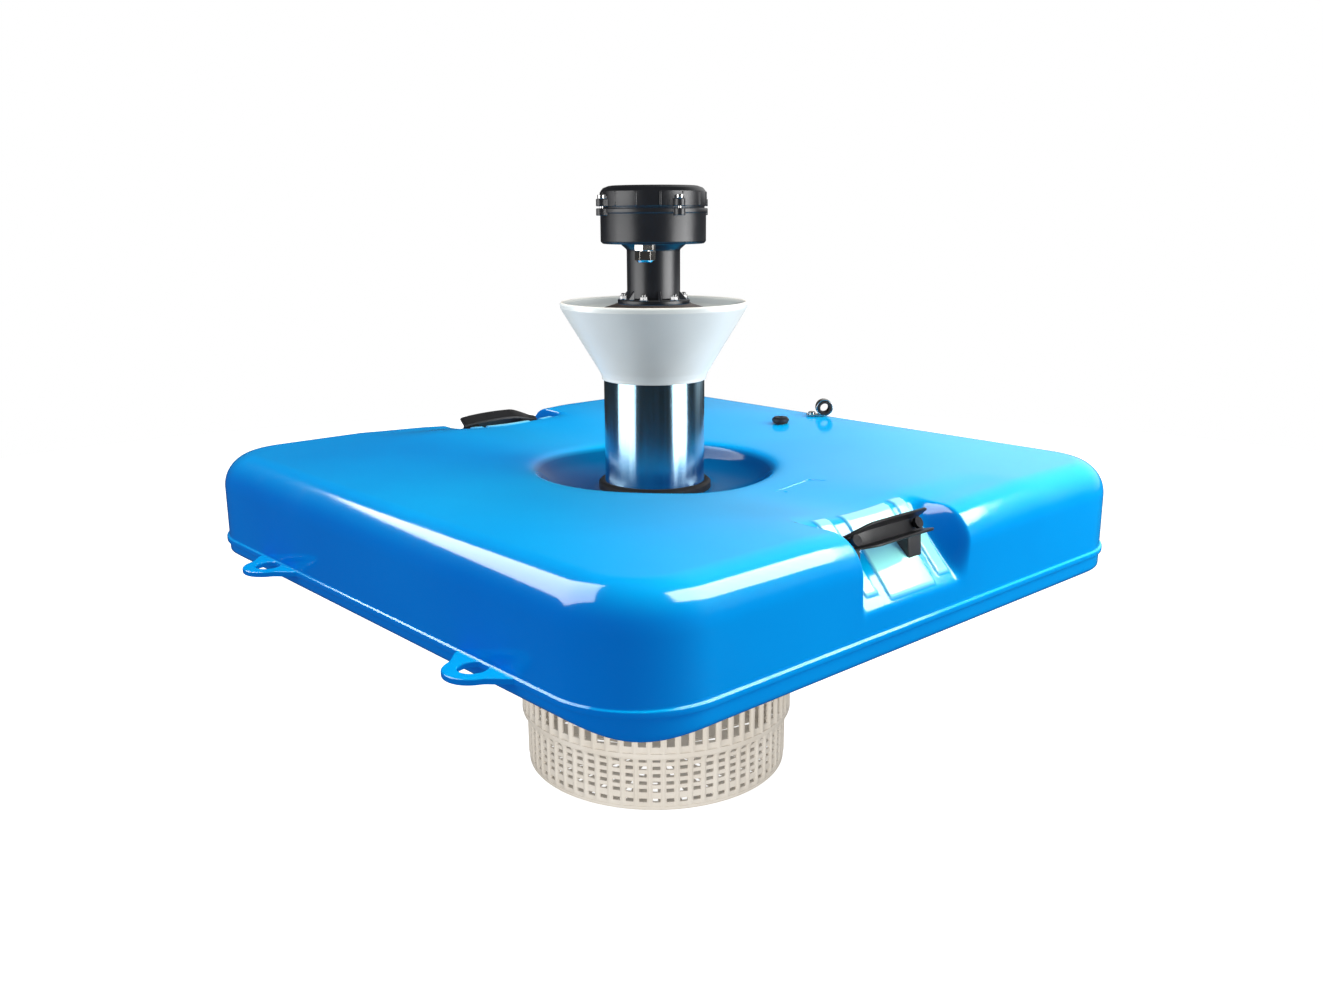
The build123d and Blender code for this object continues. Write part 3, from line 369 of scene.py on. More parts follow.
M["prop"] = material("propeller_bronze", (0.30, 0.19, 0.09), (0.40, 0.26, 0.13), rough=(0.25, 0.42),
                     metallic=1.0, scale=40.0, bump=0.2, bump_scale=600.0)


def tube_material():
    """Drawn steel tube: streaks along its length, sheen spread up and down, its colour tinted blue as a painted
    reflection of the float.
    """
    m = material("polished_tube", (0.24, 0.43, 0.56), (0.42, 0.62, 0.76), rough=(0.15, 0.23),
                 metallic=1.0, scale=1.0, bump=0.05, bump_scale=300.0, anisotropic=0.0)
    nt = m.node_tree
    nodes, links = nt.nodes, nt.links
    bsdf = nodes["Principled BSDF"]
    coords = [n for n in nodes if n.type == "TEX_COORD"][0]
    sep = nodes.new("ShaderNodeSeparateXYZ")
    links.new(coords.outputs["Object"], sep.inputs["Vector"])
    flat = nodes.new("ShaderNodeCombineXYZ")
    links.new(sep.outputs["X"], flat.inputs["X"])
    links.new(sep.outputs["Y"], flat.inputs["Y"])
    small = nodes.new("ShaderNodeMath")
    small.operation = "MULTIPLY"
    small.inputs[1].default_value = 0.02
    links.new(sep.outputs["Z"], small.inputs[0])
    links.new(small.outputs["Value"], flat.inputs["Z"])
    streak = nodes.new("ShaderNodeTexNoise")
    streak.inputs["Scale"].default_value = 190.0
    streak.inputs["Detail"].default_value = 6.0
    streak.inputs["Roughness"].default_value = 0.7
    links.new(flat.outputs["Vector"], streak.inputs["Vector"])
    cloud_range = [n for n in nodes if n.type == "MAP_RANGE"]
    for n in cloud_range:
        for l in list(links):
            if l.to_node == n and l.to_socket.name == "Value":
                links.remove(l)
        links.new(streak.outputs["Fac"], n.inputs["Value"])
    bump = [n for n in nodes if n.type == "BUMP"][0]
    for l in list(links):
        if l.to_node == bump and l.to_socket.name == "Height":
            links.remove(l)
    links.new(streak.outputs["Fac"], bump.inputs["Height"])
    bump.inputs["Strength"].default_value = 0.12
    bsdf.inputs["Anisotropic"].default_value = 0.75
    bsdf.inputs["Anisotropic Rotation"].default_value = 0.25
    tangent = nodes.new("ShaderNodeTangent")
    tangent.direction_type = "RADIAL"
    tangent.axis = "Z"
    links.new(tangent.outputs["Tangent"], bsdf.inputs["Tangent"])
    return m


M["tube"] = tube_material()


def painted_top_light(m, top, second):
    """Painted light: the upward faces are painted paler than the sides, standing in for the light from above."""
    nodes, links = m.node_tree.nodes, m.node_tree.links
    bsdf = nodes["Principled BSDF"]
    link = [l for l in links if l.to_node == bsdf and l.to_socket.name == "Base Color"][0]
    source = link.from_socket
    geo = nodes.new("ShaderNodeNewGeometry")
    sep = nodes.new("ShaderNodeSeparateXYZ")
    links.new(geo.outputs["Normal"], sep.inputs["Vector"])
    face = nodes.new("ShaderNodeMapRange")
    face.interpolation_type = "SMOOTHSTEP"
    face.inputs["From Min"].default_value = 0.25
    face.inputs["From Max"].default_value = 1.0
    links.new(sep.outputs["Z"], face.inputs["Value"])
    tops = nodes.new("ShaderNodeMix")
    tops.data_type = "RGBA"
    tops.inputs[6].default_value = (*top, 1)
    tops.inputs[7].default_value = (*second, 1)
    ramp = [n for n in nodes if n.type == "MAP_RANGE"][0]
    links.new(ramp.outputs["Result"], tops.inputs[0])
    mix = nodes.new("ShaderNodeMix")
    mix.data_type = "RGBA"
    links.new(face.outputs["Result"], mix.inputs[0])
    links.new(source, mix.inputs[6])
    links.new(tops.outputs[2], mix.inputs[7])
    links.new(mix.outputs[2], bsdf.inputs["Base Color"])


# painted light: the float's upward faces are painted a paler sky blue than its sides
painted_top_light(M["blue"], (0.0, 0.30, 0.83), (0.0, 0.35, 0.90))
# painted light: the cone's upward faces and lip are painted paler than its shaded sides
painted_top_light(M["cone"], (0.74, 0.725, 0.68), (0.79, 0.775, 0.73))


def shell_material():
    """The float's blue, with pale moulded bands in the hand scoops, their paleness a painted sheen of their flat faces,
    and painted shade darkening the dish.
    """
    m = M["blue"].copy()
    m.name = "float_blue_banded"
    nodes, links = m.node_tree.nodes, m.node_tree.links
    bsdf = nodes["Principled BSDF"]
    # painted reflection: the raised bands in the scoops are painted a pale blue for the sheen their flat faces catch
    attr = nodes.new("ShaderNodeAttribute")
    attr.attribute_name = "band_sheen"
    src = [l for l in links if l.to_node == bsdf and l.to_socket.name == "Base Color"][0].from_socket
    mix = nodes.new("ShaderNodeMix")
    mix.data_type = "RGBA"
    links.new(attr.outputs["Fac"], mix.inputs[0])
    links.new(src, mix.inputs[6])
    mix.inputs[7].default_value = (0.20, 0.56, 0.86, 1)
    # painted shade: the dish is painted a darker blue, with less specular, for the shade inside it
    deep = nodes.new("ShaderNodeAttribute")
    deep.attribute_name = "dish_shade"
    half = nodes.new("ShaderNodeMath")
    half.operation = "MULTIPLY"
    half.inputs[1].default_value = 0.85
    links.new(deep.outputs["Fac"], half.inputs[0])
    dark = nodes.new("ShaderNodeMix")
    dark.data_type = "RGBA"
    links.new(half.outputs["Value"], dark.inputs[0])
    links.new(mix.outputs[2], dark.inputs[6])
    dark.inputs[7].default_value = (0.0, 0.035, 0.17, 1)
    dull = nodes.new("ShaderNodeMapRange")
    dull.inputs["To Min"].default_value = 0.26
    dull.inputs["To Max"].default_value = 0.06
    links.new(deep.outputs["Fac"], dull.inputs["Value"])
    links.new(dull.outputs["Result"], bsdf.inputs["Specular IOR Level"])
    links.new(dark.outputs[2], bsdf.inputs["Base Color"])
    return m


M["shell"] = shell_material()

# ------------------------------------------------------------------ float, upper shell
HX, HY, CR, ER = 400.0, 387.0, 88.0, 38.0
AX, AY = HX - CR, HY - CR
SN = (0.674, 0.739)
GRIP_MID = {1: -44.0, -1: 30.0}


def contour():
    pts, nrm = [], []
    ys = list(np.linspace(-AY, -131, 14)) + list(np.arange(-129.5, 76, 1.5)) + list(np.linspace(79, AY, 19))
    for y in ys:
        pts.append((HX, y)); nrm.append((1.0, 0.0))
    for k in range(1, 20):
        a = math.pi / 2 * k / 20
        pts.append((AX + CR * math.cos(a), AY + CR * math.sin(a))); nrm.append((math.cos(a), math.sin(a)))
    for x in np.linspace(AX, -AX, 44):
        pts.append((x, HY)); nrm.append((0.0, 1.0))
    for k in range(1, 20):
        a = math.pi / 2 + math.pi / 2 * k / 20
        pts.append((-AX + CR * math.cos(a), AY + CR * math.sin(a))); nrm.append((math.cos(a), math.sin(a)))
    p, n = np.array(pts), np.array(nrm)
    return np.vstack([p, -p]), np.vstack([n, -n])


def top_height(r):
    z = 368.0 + 0.0653 * (r - 147.0)
    return 380.0 - 1.2 * np.log1p(np.exp(np.clip((380.0 - z) / 1.2, -40, 40)))


def shell_rows():
    """Rows of (xy array, z array, inner flag) round the whole wall of the shell."""
    C, N = contour()
    theta = np.arctan2(C[:, 1], C[:, 0])
    U = np.stack([np.cos(theta), np.sin(theta)], 1)
    F = C - ER * N
    rows = []

    def radial(r, z, inner=False):
        rows.append((U * r, np.full(len(C), float(z)), inner))

    for r, z in [(61, 277), (61, 300), (61, 322), (61, 333), (61.5, 336.6), (63.2, 339.2), (66, 340),
                 (74, 340.1), (84, 340.5), (96, 341.8), (107, 344.0), (116, 346.6), (123, 349.4),
                 (128.5, 352.8), (133, 356.8), (137, 360.6), (141, 363.8), (145, 366.1), (149.5, 367.5),
                 (155, 368.3), (162, 368.95)]:
        radial(r, z)
    P0 = U * 170.0
    span = F - P0
    length = np.linalg.norm(span, axis=1)
    D = span / length[:, None]
    for k in range(15):
        s = k / 15.0
        P = P0 + D * ((length - 50.0) * s)[:, None]
        rows.append((P, top_height(np.linalg.norm(P, axis=1)), False))
    for k in range(20):
        P = F - D * (50.0 - 2.5 * k)
        rows.append((P, top_height(np.linalg.norm(P, axis=1)), False))
    zf = top_height(np.linalg.norm(F, axis=1))
    for k in range(19):
        a = math.pi / 2 * (1 - k / 18.0)
        rows.append((F + N * (ER * math.cos(a)), 342.0 + ER * math.sin(a) + (zf - 380.0) * math.sin(a), False))
    for z in list(np.arange(339, 299, -3.0)) + [295, 290, 286.8]:
        rows.append((C, np.full(len(C), float(z)), False))
    for off, z in [(0.05, 285.2), (0.25, 284.1), (0.8, 283.3), (1.7, 283.0), (2.5, 282.7), (2.95, 281.8),
                   (3.0, 279.5), (2.95, 277.6), (2.6, 277.0), (-5.0, 277.0)]:
        rows.append((C + N * off, np.full(len(C), float(z)), off < -4))
    for z in [285, 294, 303, 312, 321, 330, 338]:
        rows.append((C - N * 5.0, np.full(len(C), float(z)), True))
    for k in range(9):
        a = math.pi / 2 * k / 8.0
        rows.append((F + N * (33 * math.cos(a)), 342.0 + 33 * math.sin(a) + (zf - 380.0) * math.sin(a), True))
    for k in range(1, 11):
        P = F - D * (5.0 * k)
        rows.append((P, top_height(np.linalg.norm(P, axis=1)) - 5.0, True))
    for k in range(1, 9):
        P = P0 + D * ((length - 50.0) * (1 - k / 8.0))[:, None]
        rows.append((P, top_height(np.linalg.norm(P, axis=1)) - 5.0, True))
    for r, z in [(158, 363.4), (152, 362.6), (147, 360.5), (141, 355.4), (134, 349.2), (126, 345.0), (112, 340.2),
                 (96, 336.8), (80, 335.2), (66, 335), (66, 306), (66, 277)]:
        radial(r, z, True)
    return C, rows


EDGE_Y = [-400, -150, -112, -104, 44, 57, 91, 125, 159, 185, 400]
EDGE_D = [0.0, 0.0, 2.0, 7.5, 7.5, 6.7, 4.2, 2.7, 1.4, 0.0, 0.0]


def valley(x, y):
    """How far the top is lowered towards the hand scoop, for the +x side."""
    edge = np.interp(y, EDGE_Y, EDGE_D)
    bell = 7.0 * np.exp(-(((y + 25.0) / 75.0) ** 2))
    near = smoothstep(300, 350, x)
    inward = 0.42 + 0.58 * smoothstep(140, 330, x)
    fade = smoothstep(95, 140, x)
    return (bell * inward * (1 - near) + edge * near) * fade


def build_shell():
    C, rows = shell_rows()
    cols = len(C)
    verts = np.zeros((len(rows), cols, 3))
    band_sheen = np.zeros((len(rows), cols))
    dish_shade = np.zeros((len(rows), cols))
    for i, (xy, z, inner) in enumerate(rows):
        side = np.where(xy[:, 0] >= 0, 1.0, -1.0)
        x, y, z = xy[:, 0] * side, xy[:, 1] * side, z.copy()
        z -= valley(x, y) * smoothstep(296, 378, z if not inner else z + 5.0)
        t = (x - 318.0) * 0.739 - (z - 381.0) * 0.674
        d = (x - 318.0) * SN[0] + (z - 381.0) * SN[1] + (5.0 if inner else 0.0)
        grow = 5.0 if inner else 0.0
        far = 58.0 - 12.0 * np.clip(t / 107.0, 0, 1) + grow
        w = smoothstep(-111 - grow, -103 - grow, y) * (1 - smoothstep(far - 9, far + 9, y))
        w = w * smoothstep(284.0, 292.0, z)
        d_eff = 0.5 * (d + np.sqrt(d * d + 10.0))
        lift = np.zeros(cols)
        if not inner:
            q = np.clip(t / 107.0, 0, 1)

            def strip(lo0, lo1, hi0, hi1, t0, t1):
                lo, hi = lo0 + (lo1 - lo0) * q, hi0 + (hi1 - hi0) * q
                return (smoothstep(-0.8, 0.8, y - lo) * smoothstep(-0.8, 0.8, hi - y)
                        * smoothstep(-1.5, 1.5, t - t0) * smoothstep(-1.5, 1.5, t1 - t))

            s = strip(-49, -64, 21, 5, 2.0, 104.0)
            s = np.maximum(s, strip(31, 16, 47, 33, 4.0, 97.0))
            s = np.maximum(s, strip(-88, -92, -70, -76, 5.0, 95.0))
            s = s * w * (d > -6)
            lift = 2.0 * s
            band_sheen[i] = s
            # painted shade mask: 1 inside the dish, fading out towards its rim
            dish_shade[i] = 1.0 - smoothstep(136.0, 147.0, np.hypot(x, y))
        move = d_eff * w - lift
        x = x - SN[0] * move
        z = z - SN[1] * move
        verts[i, :, 0] = x * side
        verts[i, :, 1] = y * side
        verts[i, :, 2] = z
    faces = []
    n = len(rows)
    for i in range(n):
        a, b = i * cols, ((i + 1) % n) * cols
        for j in range(cols):
            k = (j + 1) % cols
            faces.append((a + j, a + k, b + k, b + j))
    obj = new_object("float_upper", verts.reshape(-1, 3), faces, M["shell"], 50.0)
    layer = obj.data.attributes.new("band_sheen", "FLOAT", "POINT")
    layer.data.foreach_set("value", band_sheen.reshape(-1).astype(np.float32))
    layer = obj.data.attributes.new("dish_shade", "FLOAT", "POINT")
    layer.data.foreach_set("value", dish_shade.reshape(-1).astype(np.float32))
    return obj


upper = place(build_shell(), "float", "float_blue", "float_upper_shell")


# ------------------------------------------------------------------ float, lower shell
def build_lower():
    C, N = contour()
    theta = np.arctan2(C[:, 1], C[:, 0])
    U = np.stack([np.cos(theta), np.sin(theta)], 1)
    keel = 266.0 - 6.0 * N[:, 0] ** 2 - 6.0 * (2.0 * N[:, 0] * N[:, 1]) ** 2
    rows = []

    def add_row(xy, z):
        rows.append(np.column_stack([xy, np.broadcast_to(np.asarray(z, float), (len(C),))]))

    def sloped(q, off):
        """Point on the keel's slope, q from the side's foot inward, off to the inside."""
        drop = keel - 228.0
        long = np.hypot(62.0, drop)
        inward = 62.0 * q + off * drop / long
        height = keel - drop * q + off * 62.0 / long
        add_row(C - N * inward[:, None], height)

    add_row(C, 276.9)
    add_row(C, 274.0)
    for k in range(7):
        a = k / 6.0
        # rounded foot of the side
        inward = 6.0 * a * a
        add_row(C - N * inward, keel + (5.0 * (1 - a) ** 2) - (keel - 228.0) * 6.0 * a * a / 62.0)
    for q in (0.2, 0.35, 0.5, 0.65, 0.8, 0.9):
        sloped(q, 0.0)
    for k in range(1, 6):
        a = k / 5.0
        inward = 62.0 - 6.2 * (1 - a) ** 2 + 8.0 * a * a
        add_row(C - N * inward, 228.0 + (keel - 228.0) * 0.1 * (1 - a) ** 2)
    edge = C - N * 70.0
    for k in range(1, 9):
        t = k / 8.0
        add_row(edge * (1 - t) + U * 185.0 * t, 228.0)
    for r in (165.0, 140.0, 118.0, 97.0, 80.0, 62.5):
        add_row(U * r, 228.0)
    for r, z in ((61.4, 228.4), (61.0, 229.4), (61.0, 250.0), (61.0, 276.9), (66.0, 276.9), (66.0, 246.0), (100.0, 246.0), (100.0, 233.0), (140.0, 233.0), (185.0, 233.0)):
        add_row(U * r, z)
    inner = C - N * 63.4
    for t in (0.4, 0.8, 1.0):
        add_row(U * 185.0 * (1 - t) + inner * t, 233.0)
    for q in (0.75, 0.5, 0.25):
        sloped(q, 5.0)
    add_row(C - N * 5.0, keel + 3.2)
    add_row(C - N * 5.0, 276.9)
    n, cols = len(rows), len(C)
    faces = []
    for i in range(n):
        a, b = i * cols, ((i + 1) % n) * cols
        for j in range(cols):
            k = (j + 1) % cols
            faces.append((a + j, a + k, b + k, b + j))
    return new_object("float_lower", np.vstack(rows), faces, M["blue"], 50.0)


lower = place(build_lower(), "float", "float_blue", "float_lower_shell")


# ------------------------------------------------------------------ mooring ears
def ear_outline(x0, s, count=120):
    """Outline of an ear and its web, round the hole's centre."""
    web = [(x0 - 50, 384.5), (x0 - 46, 388), (x0 - 22, 412), (x0 + 22, 412), (x0 + 46, 388), (x0 + 50, 384.5)]
    out = []
    for k in range(count):
        a = 2 * math.pi * k / count
        dx, dy = math.cos(a), math.sin(a)
        best = 27.0
        for i in range(len(web)):
            (ax, ay), (bx, by) = web[i], web[(i + 1) % len(web)]
            ex, ey = bx - ax, by - ay
            den = dx * ey - dy * ex
            if abs(den) < 1e-9:
                continue
            t = ((ax - x0) * ey - (ay - 401.0) * ex) / den
            u = ((ax - x0) * dy - (ay - 401.0) * dx) / den
            if t > 0 and -1e-9 <= u <= 1 + 1e-9:
                best = max(best, t)
        if dy < 0:
            best = min(best, 16.5 / -dy)
        out.append([best, a])
    radii = np.array([o[0] for o in out])
    for _ in range(5):
        radii = (np.roll(radii, 1) + 2 * radii + np.roll(radii, -1)) / 4
    pts = []
    for r, (_, a) in zip(radii, out):
        y = 401.0 + r * math.sin(a)
        pts.append((x0 + r * math.cos(a), s * max(y, 384.5)))
    return pts


ear_parts = []
for ex, s in ((-190.0, -1), (215.0, -1), (190.0, 1), (-215.0, 1)):
    outline = ear_outline(ex, s)
    ear_parts.append(ring_prism_data(outline, circle_like(outline, ex, s * 401.0, 13.0), 277.1, 282.9))
ears = place(bevel(new_object("mooring_ears", *joined(ear_parts), M["blue"]), 1.4, 3, 40), "float", "float_blue")

# ------------------------------------------------------------------ bead on the top
bead_points = [(194.4, -1.9), (193.0, 18.0), (191.2, 40.0), (189.9, 55.0), (190.4, 58.0), (193.0, 59.2), (201.0, 61.5), (209.9, 63.7)]


def bead(name, pts, width=1.6, height=1.1):
    rings = []
    pts = [np.array(p, float) for p in pts]
    verts, faces = [], []
    seg = 8
    for i, p in enumerate(pts):
        d = pts[min(i + 1, len(pts) - 1)] - pts[max(i - 1, 0)]
        d /= np.linalg.norm(d)
        nrm = np.array([-d[1], d[0]])
        taper = 0.35 if i in (0, len(pts) - 1) else 1.0
        z0 = float(top_height(np.hypot(*p)) - valley(np.array([p[0]]), np.array([p[1]]))[0])
        for k in range(seg):
            a = 2 * math.pi * k / seg
            q = p + nrm * (width * taper * math.cos(a))
            verts.append((q[0], q[1], z0 - 0.2 + height * taper * math.sin(a)))
    n = len(pts)
    for i in range(n - 1):
        for k in range(seg):
            j = (k + 1) % seg
            faces.append((i * seg + k, i * seg + j, (i + 1) * seg + j, (i + 1) * seg + k))
    faces.append(tuple(range(seg))[::-1])
    faces.append(tuple((n - 1) * seg + k for k in range(seg)))
    return new_object(name, verts, faces, M["blue"], 60)


place(bead("top_bead", bead_points), "float", "float_blue")
place(bead("top_bead_short", [(203.6, 1.0), (205.6, 2.9), (207.6, 5.0)]), "float", "float_blue")


# ------------------------------------------------------------------ hand grips
def grip_xz(n, t, side):
    c, s = math.cos(math.radians(28)), math.sin(math.radians(28))
    return side * (372.0 + n * c - t * s), 366.0 + n * s + t * c


def build_grip(side, y_mid, name):
    """Channel grip, bowed a little and drawn in at one end, on two feet."""
    section = rounded([(-4, -7.5), (-4, 7.5), (-2, 10), (13, 12), (14, 9.5), (1, 6.5),
                       (1, -6.5), (14, -9.5), (13, -12), (-2, -10)], 1.1, 3)
    section = [(n, t) for n, t in section]
    stations = np.concatenate([[-61, -60.2, -58.5], np.linspace(-55, 55, 34), [58.5, 60.2, 61]])
    verts, faces = [], []
    for u in stations:
        near = float(smoothstep(-61, -24, u))
        scale = 0.62 + 0.38 * near
        end = min(61 - abs(u), 2.5) / 2.5
        depth = (0.45 + 0.55 * near) * (0.94 + 0.06 * end)
        sink = -5.0 * (abs(u) / 61.0) ** 2 - 3.0 * (1 - near)
        spread = scale * (0.96 + 0.04 * end)
        for n, t in section:
            nn = (n + 4.0) * depth - 4.0 + sink if n > -4 else n + sink * 0.55
            x, z = grip_xz(nn, t * spread, side)
            verts.append((x, y_mid + u * side, z))
    m, k = len(section), len(stations)
    for i in range(k - 1):
        for j in range(m):
            q = (j + 1) % m
            faces.append((i * m + j, i * m + q, (i + 1) * m + q, (i + 1) * m + j))
    faces.append(tuple(range(m))[::-1])
    faces.append(tuple((k - 1) * m + j for j in range(m)))
    body = new_object(name, verts, faces, M["grip"], 40)
    feet = []
    for off in (-47.0, 47.0):
        pts = [grip_xz(-4.5, 7, side), grip_xz(-4.5, -8, side)]
        for reach in (74.0, 42.0):
            pts.append((side * (318.0 + reach * 0.739 + 0.8 * SN[0]), 381.0 - reach * 0.674 + 0.8 * SN[1]))
        ring = []
        for yy in (y_mid + off - 11, y_mid + off + 11):
            ring.append([(x, yy, z) for x, z in pts])
        v = ring[0] + ring[1]
        feet.append((v, [(0, 1, 2, 3), (7, 6, 5, 4), (0, 4, 5, 1), (1, 5, 6, 2), (2, 6, 7, 3), (3, 7, 4, 0)]))
    foot = bevel(new_object(name + "_feet", *joined(feet), M["grip"]), 2.0, 3)
    return body, foot


for side, y_mid, node in ((1, -44.0, "handle_grip_front"), (-1, 30.0, "handle_grip_rear")):
    body, foot = build_grip(side, y_mid, "grip_front" if side > 0 else "grip_rear")
    place(body, "float", "grip_black", node)
    place(foot, "float", "grip_black")

# ------------------------------------------------------------------ plug and cable clip
PX, PY = -47.0, 274.0
plug_profile = rounded([(0, 364.0), (6.4, 364.0), (7.0, 365.0), (7.0, 379.6), (11.5, 379.6), (11.5, 383.0), (9.0, 385.6), (3.6, 385.6), (3.4, 382.4), (0, 382.4)], 0.8, 3)
plug = place(new_object("plug_head", *lathe_data(plug_profile, 64, (PX, PY)), M["plug"]), "plug", "plug_black", "float_plug")
seal = place(new_object("plug_gasket", *lathe_data(rounded([(7.4, 378.05), (10.5, 378.05), (10.5, 379.55), (7.4, 379.55)], 0.5, 3), 64, (PX, PY)), M["rubber"]), "plug", "seal_rubber", "plug_seal")

CLIP = (-34.0, 350.0)
CD = (0.667, 0.745)
CA = (0.745, -0.667)


def clip_point(u, w, h):
    """u along the tail's direction, w along the ring's axis, h height above the top."""
    return (CLIP[0] + u * CD[0] + w * CA[0], CLIP[1] + u * CD[1] + w * CA[1], 380.0 + h)


def band_solid(path, width, thickness_out, closed=False):
    """A strip of metal along a path in the clip's plane."""
    n = len(path)
    pts = [np.array(p, float) for p in path]
    verts, faces = [], []
    for i, p in enumerate(pts):
        a = pts[(i - 1) % n] if closed else pts[max(i - 1, 0)]
        b = pts[(i + 1) % n] if closed else pts[min(i + 1, n - 1)]
        d = (b - a) / np.linalg.norm(b - a)
        nrm = np.array([-d[1], d[0]])
        q = p + nrm * thickness_out
        for c, w in ((p, -width / 2), (q, -width / 2), (q, width / 2), (p, width / 2)):
            verts.append(clip_point(c[0], w, c[1]))
    last = n if closed else n - 1
    for i in range(last):
        j = (i + 1) % n
        for k in range(4):
            m = (k + 1) % 4
            faces.append((i * 4 + k, i * 4 + m, j * 4 + m, j * 4 + k))
    if not closed:
        faces.append((0, 1, 2, 3))
        faces.append(((n - 1) * 4 + 3, (n - 1) * 4 + 2, (n - 1) * 4 + 1, (n - 1) * 4))
    return verts, faces


ring_path = [(11.5 * math.sin(a), 11.9 - 11.5 * math.cos(a)) for a in np.linspace(0, 2 * math.pi, 48, endpoint=False)]
strap = joined([band_solid(ring_path, 14.0, 1.5, True),
                band_solid([(-24.0, 0.45), (-20.0, 0.45), (-10.0, 0.45), (0.0, 0.45)], 14.0, 2.1)])
clip = place(bevel(new_object("clip_strap", *strap, M["steel"]), 0.4, 2), "float", "fastener_steel", "cable_clip")
liner_v, liner_f = lathe_data(rounded([(6.2, -8.0), (9.9, -8.0), (9.9, 8.0), (6.2, 8.0)], 0.9, 3), 48)
liner_pts = []
for x, y, z in liner_v:
    liner_pts.append(clip_point(x, z, 11.9 + y))
place(new_object("clip_lining", liner_pts, liner_f, M["rubber"]), "float", "seal_rubber", "clip_liner")

# ------------------------------------------------------------------ riser tube, collar, cone
place(new_object("riser", *lathe_data(rounded([(57.2, 112.0), (58.7, 112.0), (58.7, 480.0), (57.2, 480.0)], 0.4, 2), 192), M["tube"], 30), "float", "polished_tube", "riser_tube")
collar = rounded([(58.75, 340.1), (66.5, 340.1), (66.5, 347.5), (64.0, 350.0), (58.75, 350.0)], 0.9, 3)
place(new_object("foot_collar", *lathe_data(collar, 160), M["rubber"]), "float", "seal_rubber", "tube_collar")
cone_profile = rounded([(58.8, 469.5), (60.6, 469.5), (61, 473), (63.6, 479.2), (105.2, 548.2), (107.4, 552.5), (107.9, 556.5),
                        (107, 558.7), (104.6, 558.7), (103, 556), (100.6, 549.8), (62, 487), (56.2, 483), (58.8, 483)], 1.2, 4,
                       {2: 4.0, 3: 6.0, 4: 12.0, 10: 12.0, 11: 6.0})
place(new_object("cone", *lathe_data(cone_profile, 192), M["cone"], 60), "float", "cone_white", "spray_cone")
defl_profile = rounded([(16, 550), (57.6, 550), (57.6, 551.6), (46, 555.2), (43, 556.5), (16, 556.5)], 0.6, 3, {3: 2.0, 4: 2.0})
place(new_object("deflector", *lathe_data(defl_profile, 160), M["bronze"]), "float", "bronze", "deflector_plate")

# ------------------------------------------------------------------ neck and terminal housing
house_profile = rounded([(20, 556.5), (41.4, 556.5), (41.4, 561.3), (30.5, 561.3), (30.5, 617), (38, 623.5), (57.4, 623.5), (59.9, 626),
                         (59.9, 657.3), (61.4, 657.3), (61.4, 662.5), (55, 662.5), (55, 655), (56.5, 652), (56.5, 627), (20, 627)],
                        0.8, 3, {3: 2.5, 4: 3.0, 5: 2.0, 6: 2.5, 7: 2.5})
house = [lathe_data(house_profile, 160)]
place(new_object("housing", *joined(house), M["black"]), "float", "housing_black", "terminal_housing", "terminal_base", "terminal_neck", "neck_foot")
extras = []
for k in range(6):
    a = 30 + 60 * k
    # gusset between the foot and the neck
    v = [(30.0, -1.5, 561.2), (40.0, -1.5, 561.2), (30.0, -1.5, 572.0), (30.0, 1.5, 561.2), (40.0, 1.5, 561.2), (30.0, 1.5, 572.0)]
    f = [(0, 1, 2), (5, 4, 3), (0, 3, 4, 1), (1, 4, 5, 2), (2, 5, 3, 0)]
    extras.append(turned((v, f), a))
LUGS = (-105.0, -15.0, 75.0, 165.0)


def lug_outline():
    pts = [(56.5, -6.0)]
    for k in range(13):
        a = math.radians(-90 + 180 * k / 12)
        pts.append((64.0 + 6.0 * math.cos(a), 6.0 * math.sin(a)))
    pts.append((56.5, 6.0))
    return pts


for a in LUGS:
    extras.append(turned(prism_data(lug_outline(), 654.6, 662.45), a))
house_extra = bevel(new_object("housing_lugs", *joined(extras), M["black"]), 0.7, 2, 35)
place(house_extra, "float", "housing_black")

lid_profile = rounded([(0, 687.0), (46.5, 686.2), (47.5, 687.2), (50.5, 686.8), (56.5, 684.6), (59.4, 681), (59.4, 664.6), (58.2, 664.4),
                       (58.2, 662.6), (55.7, 662.6), (55.6, 680), (46, 683.2), (0, 684.2)], 0.5, 3, {4: 2.5, 5: 1.6, 2: 0.5, 3: 1.0})
lid = place(new_object("lid_cap", *lathe_data(lid_profile, 160), M["black"]), "lid", "housing_black", "terminal_lid")
lid_bits = []
for k in range(14):
    a = 17.14 + 360.0 * k / 14
    box = [(58.4, -1.1, 665.2), (61.0, -1.1, 665.2), (61.0, 1.1, 665.2), (58.4, 1.1, 665.2),
           (58.4, -1.1, 680.4), (60.6, -1.1, 680.4), (60.6, 1.1, 680.4), (58.4, 1.1, 680.4)]
    f = [(3, 2, 1, 0), (4, 5, 6, 7), (0, 1, 5, 4), (1, 2, 6, 5), (2, 3, 7, 6), (3, 0, 4, 7)]
    lid_bits.append(turned((box, f), a))
for a in LUGS:
    lid_bits.append(turned(prism_data(lug_outline(), 664.6, 672.55), a))
    lid_bits.append(turned(prism_data([(56.5, -4.2), (63.0, -4.2), (63.0, 4.2), (56.5, 4.2)], 650.6 + 22.0, 676.0), a))
place(bevel(new_object("lid_ribs_and_lugs", *joined(lid_bits), M["black"]), 0.6, 2, 35), "lid", "housing_black")

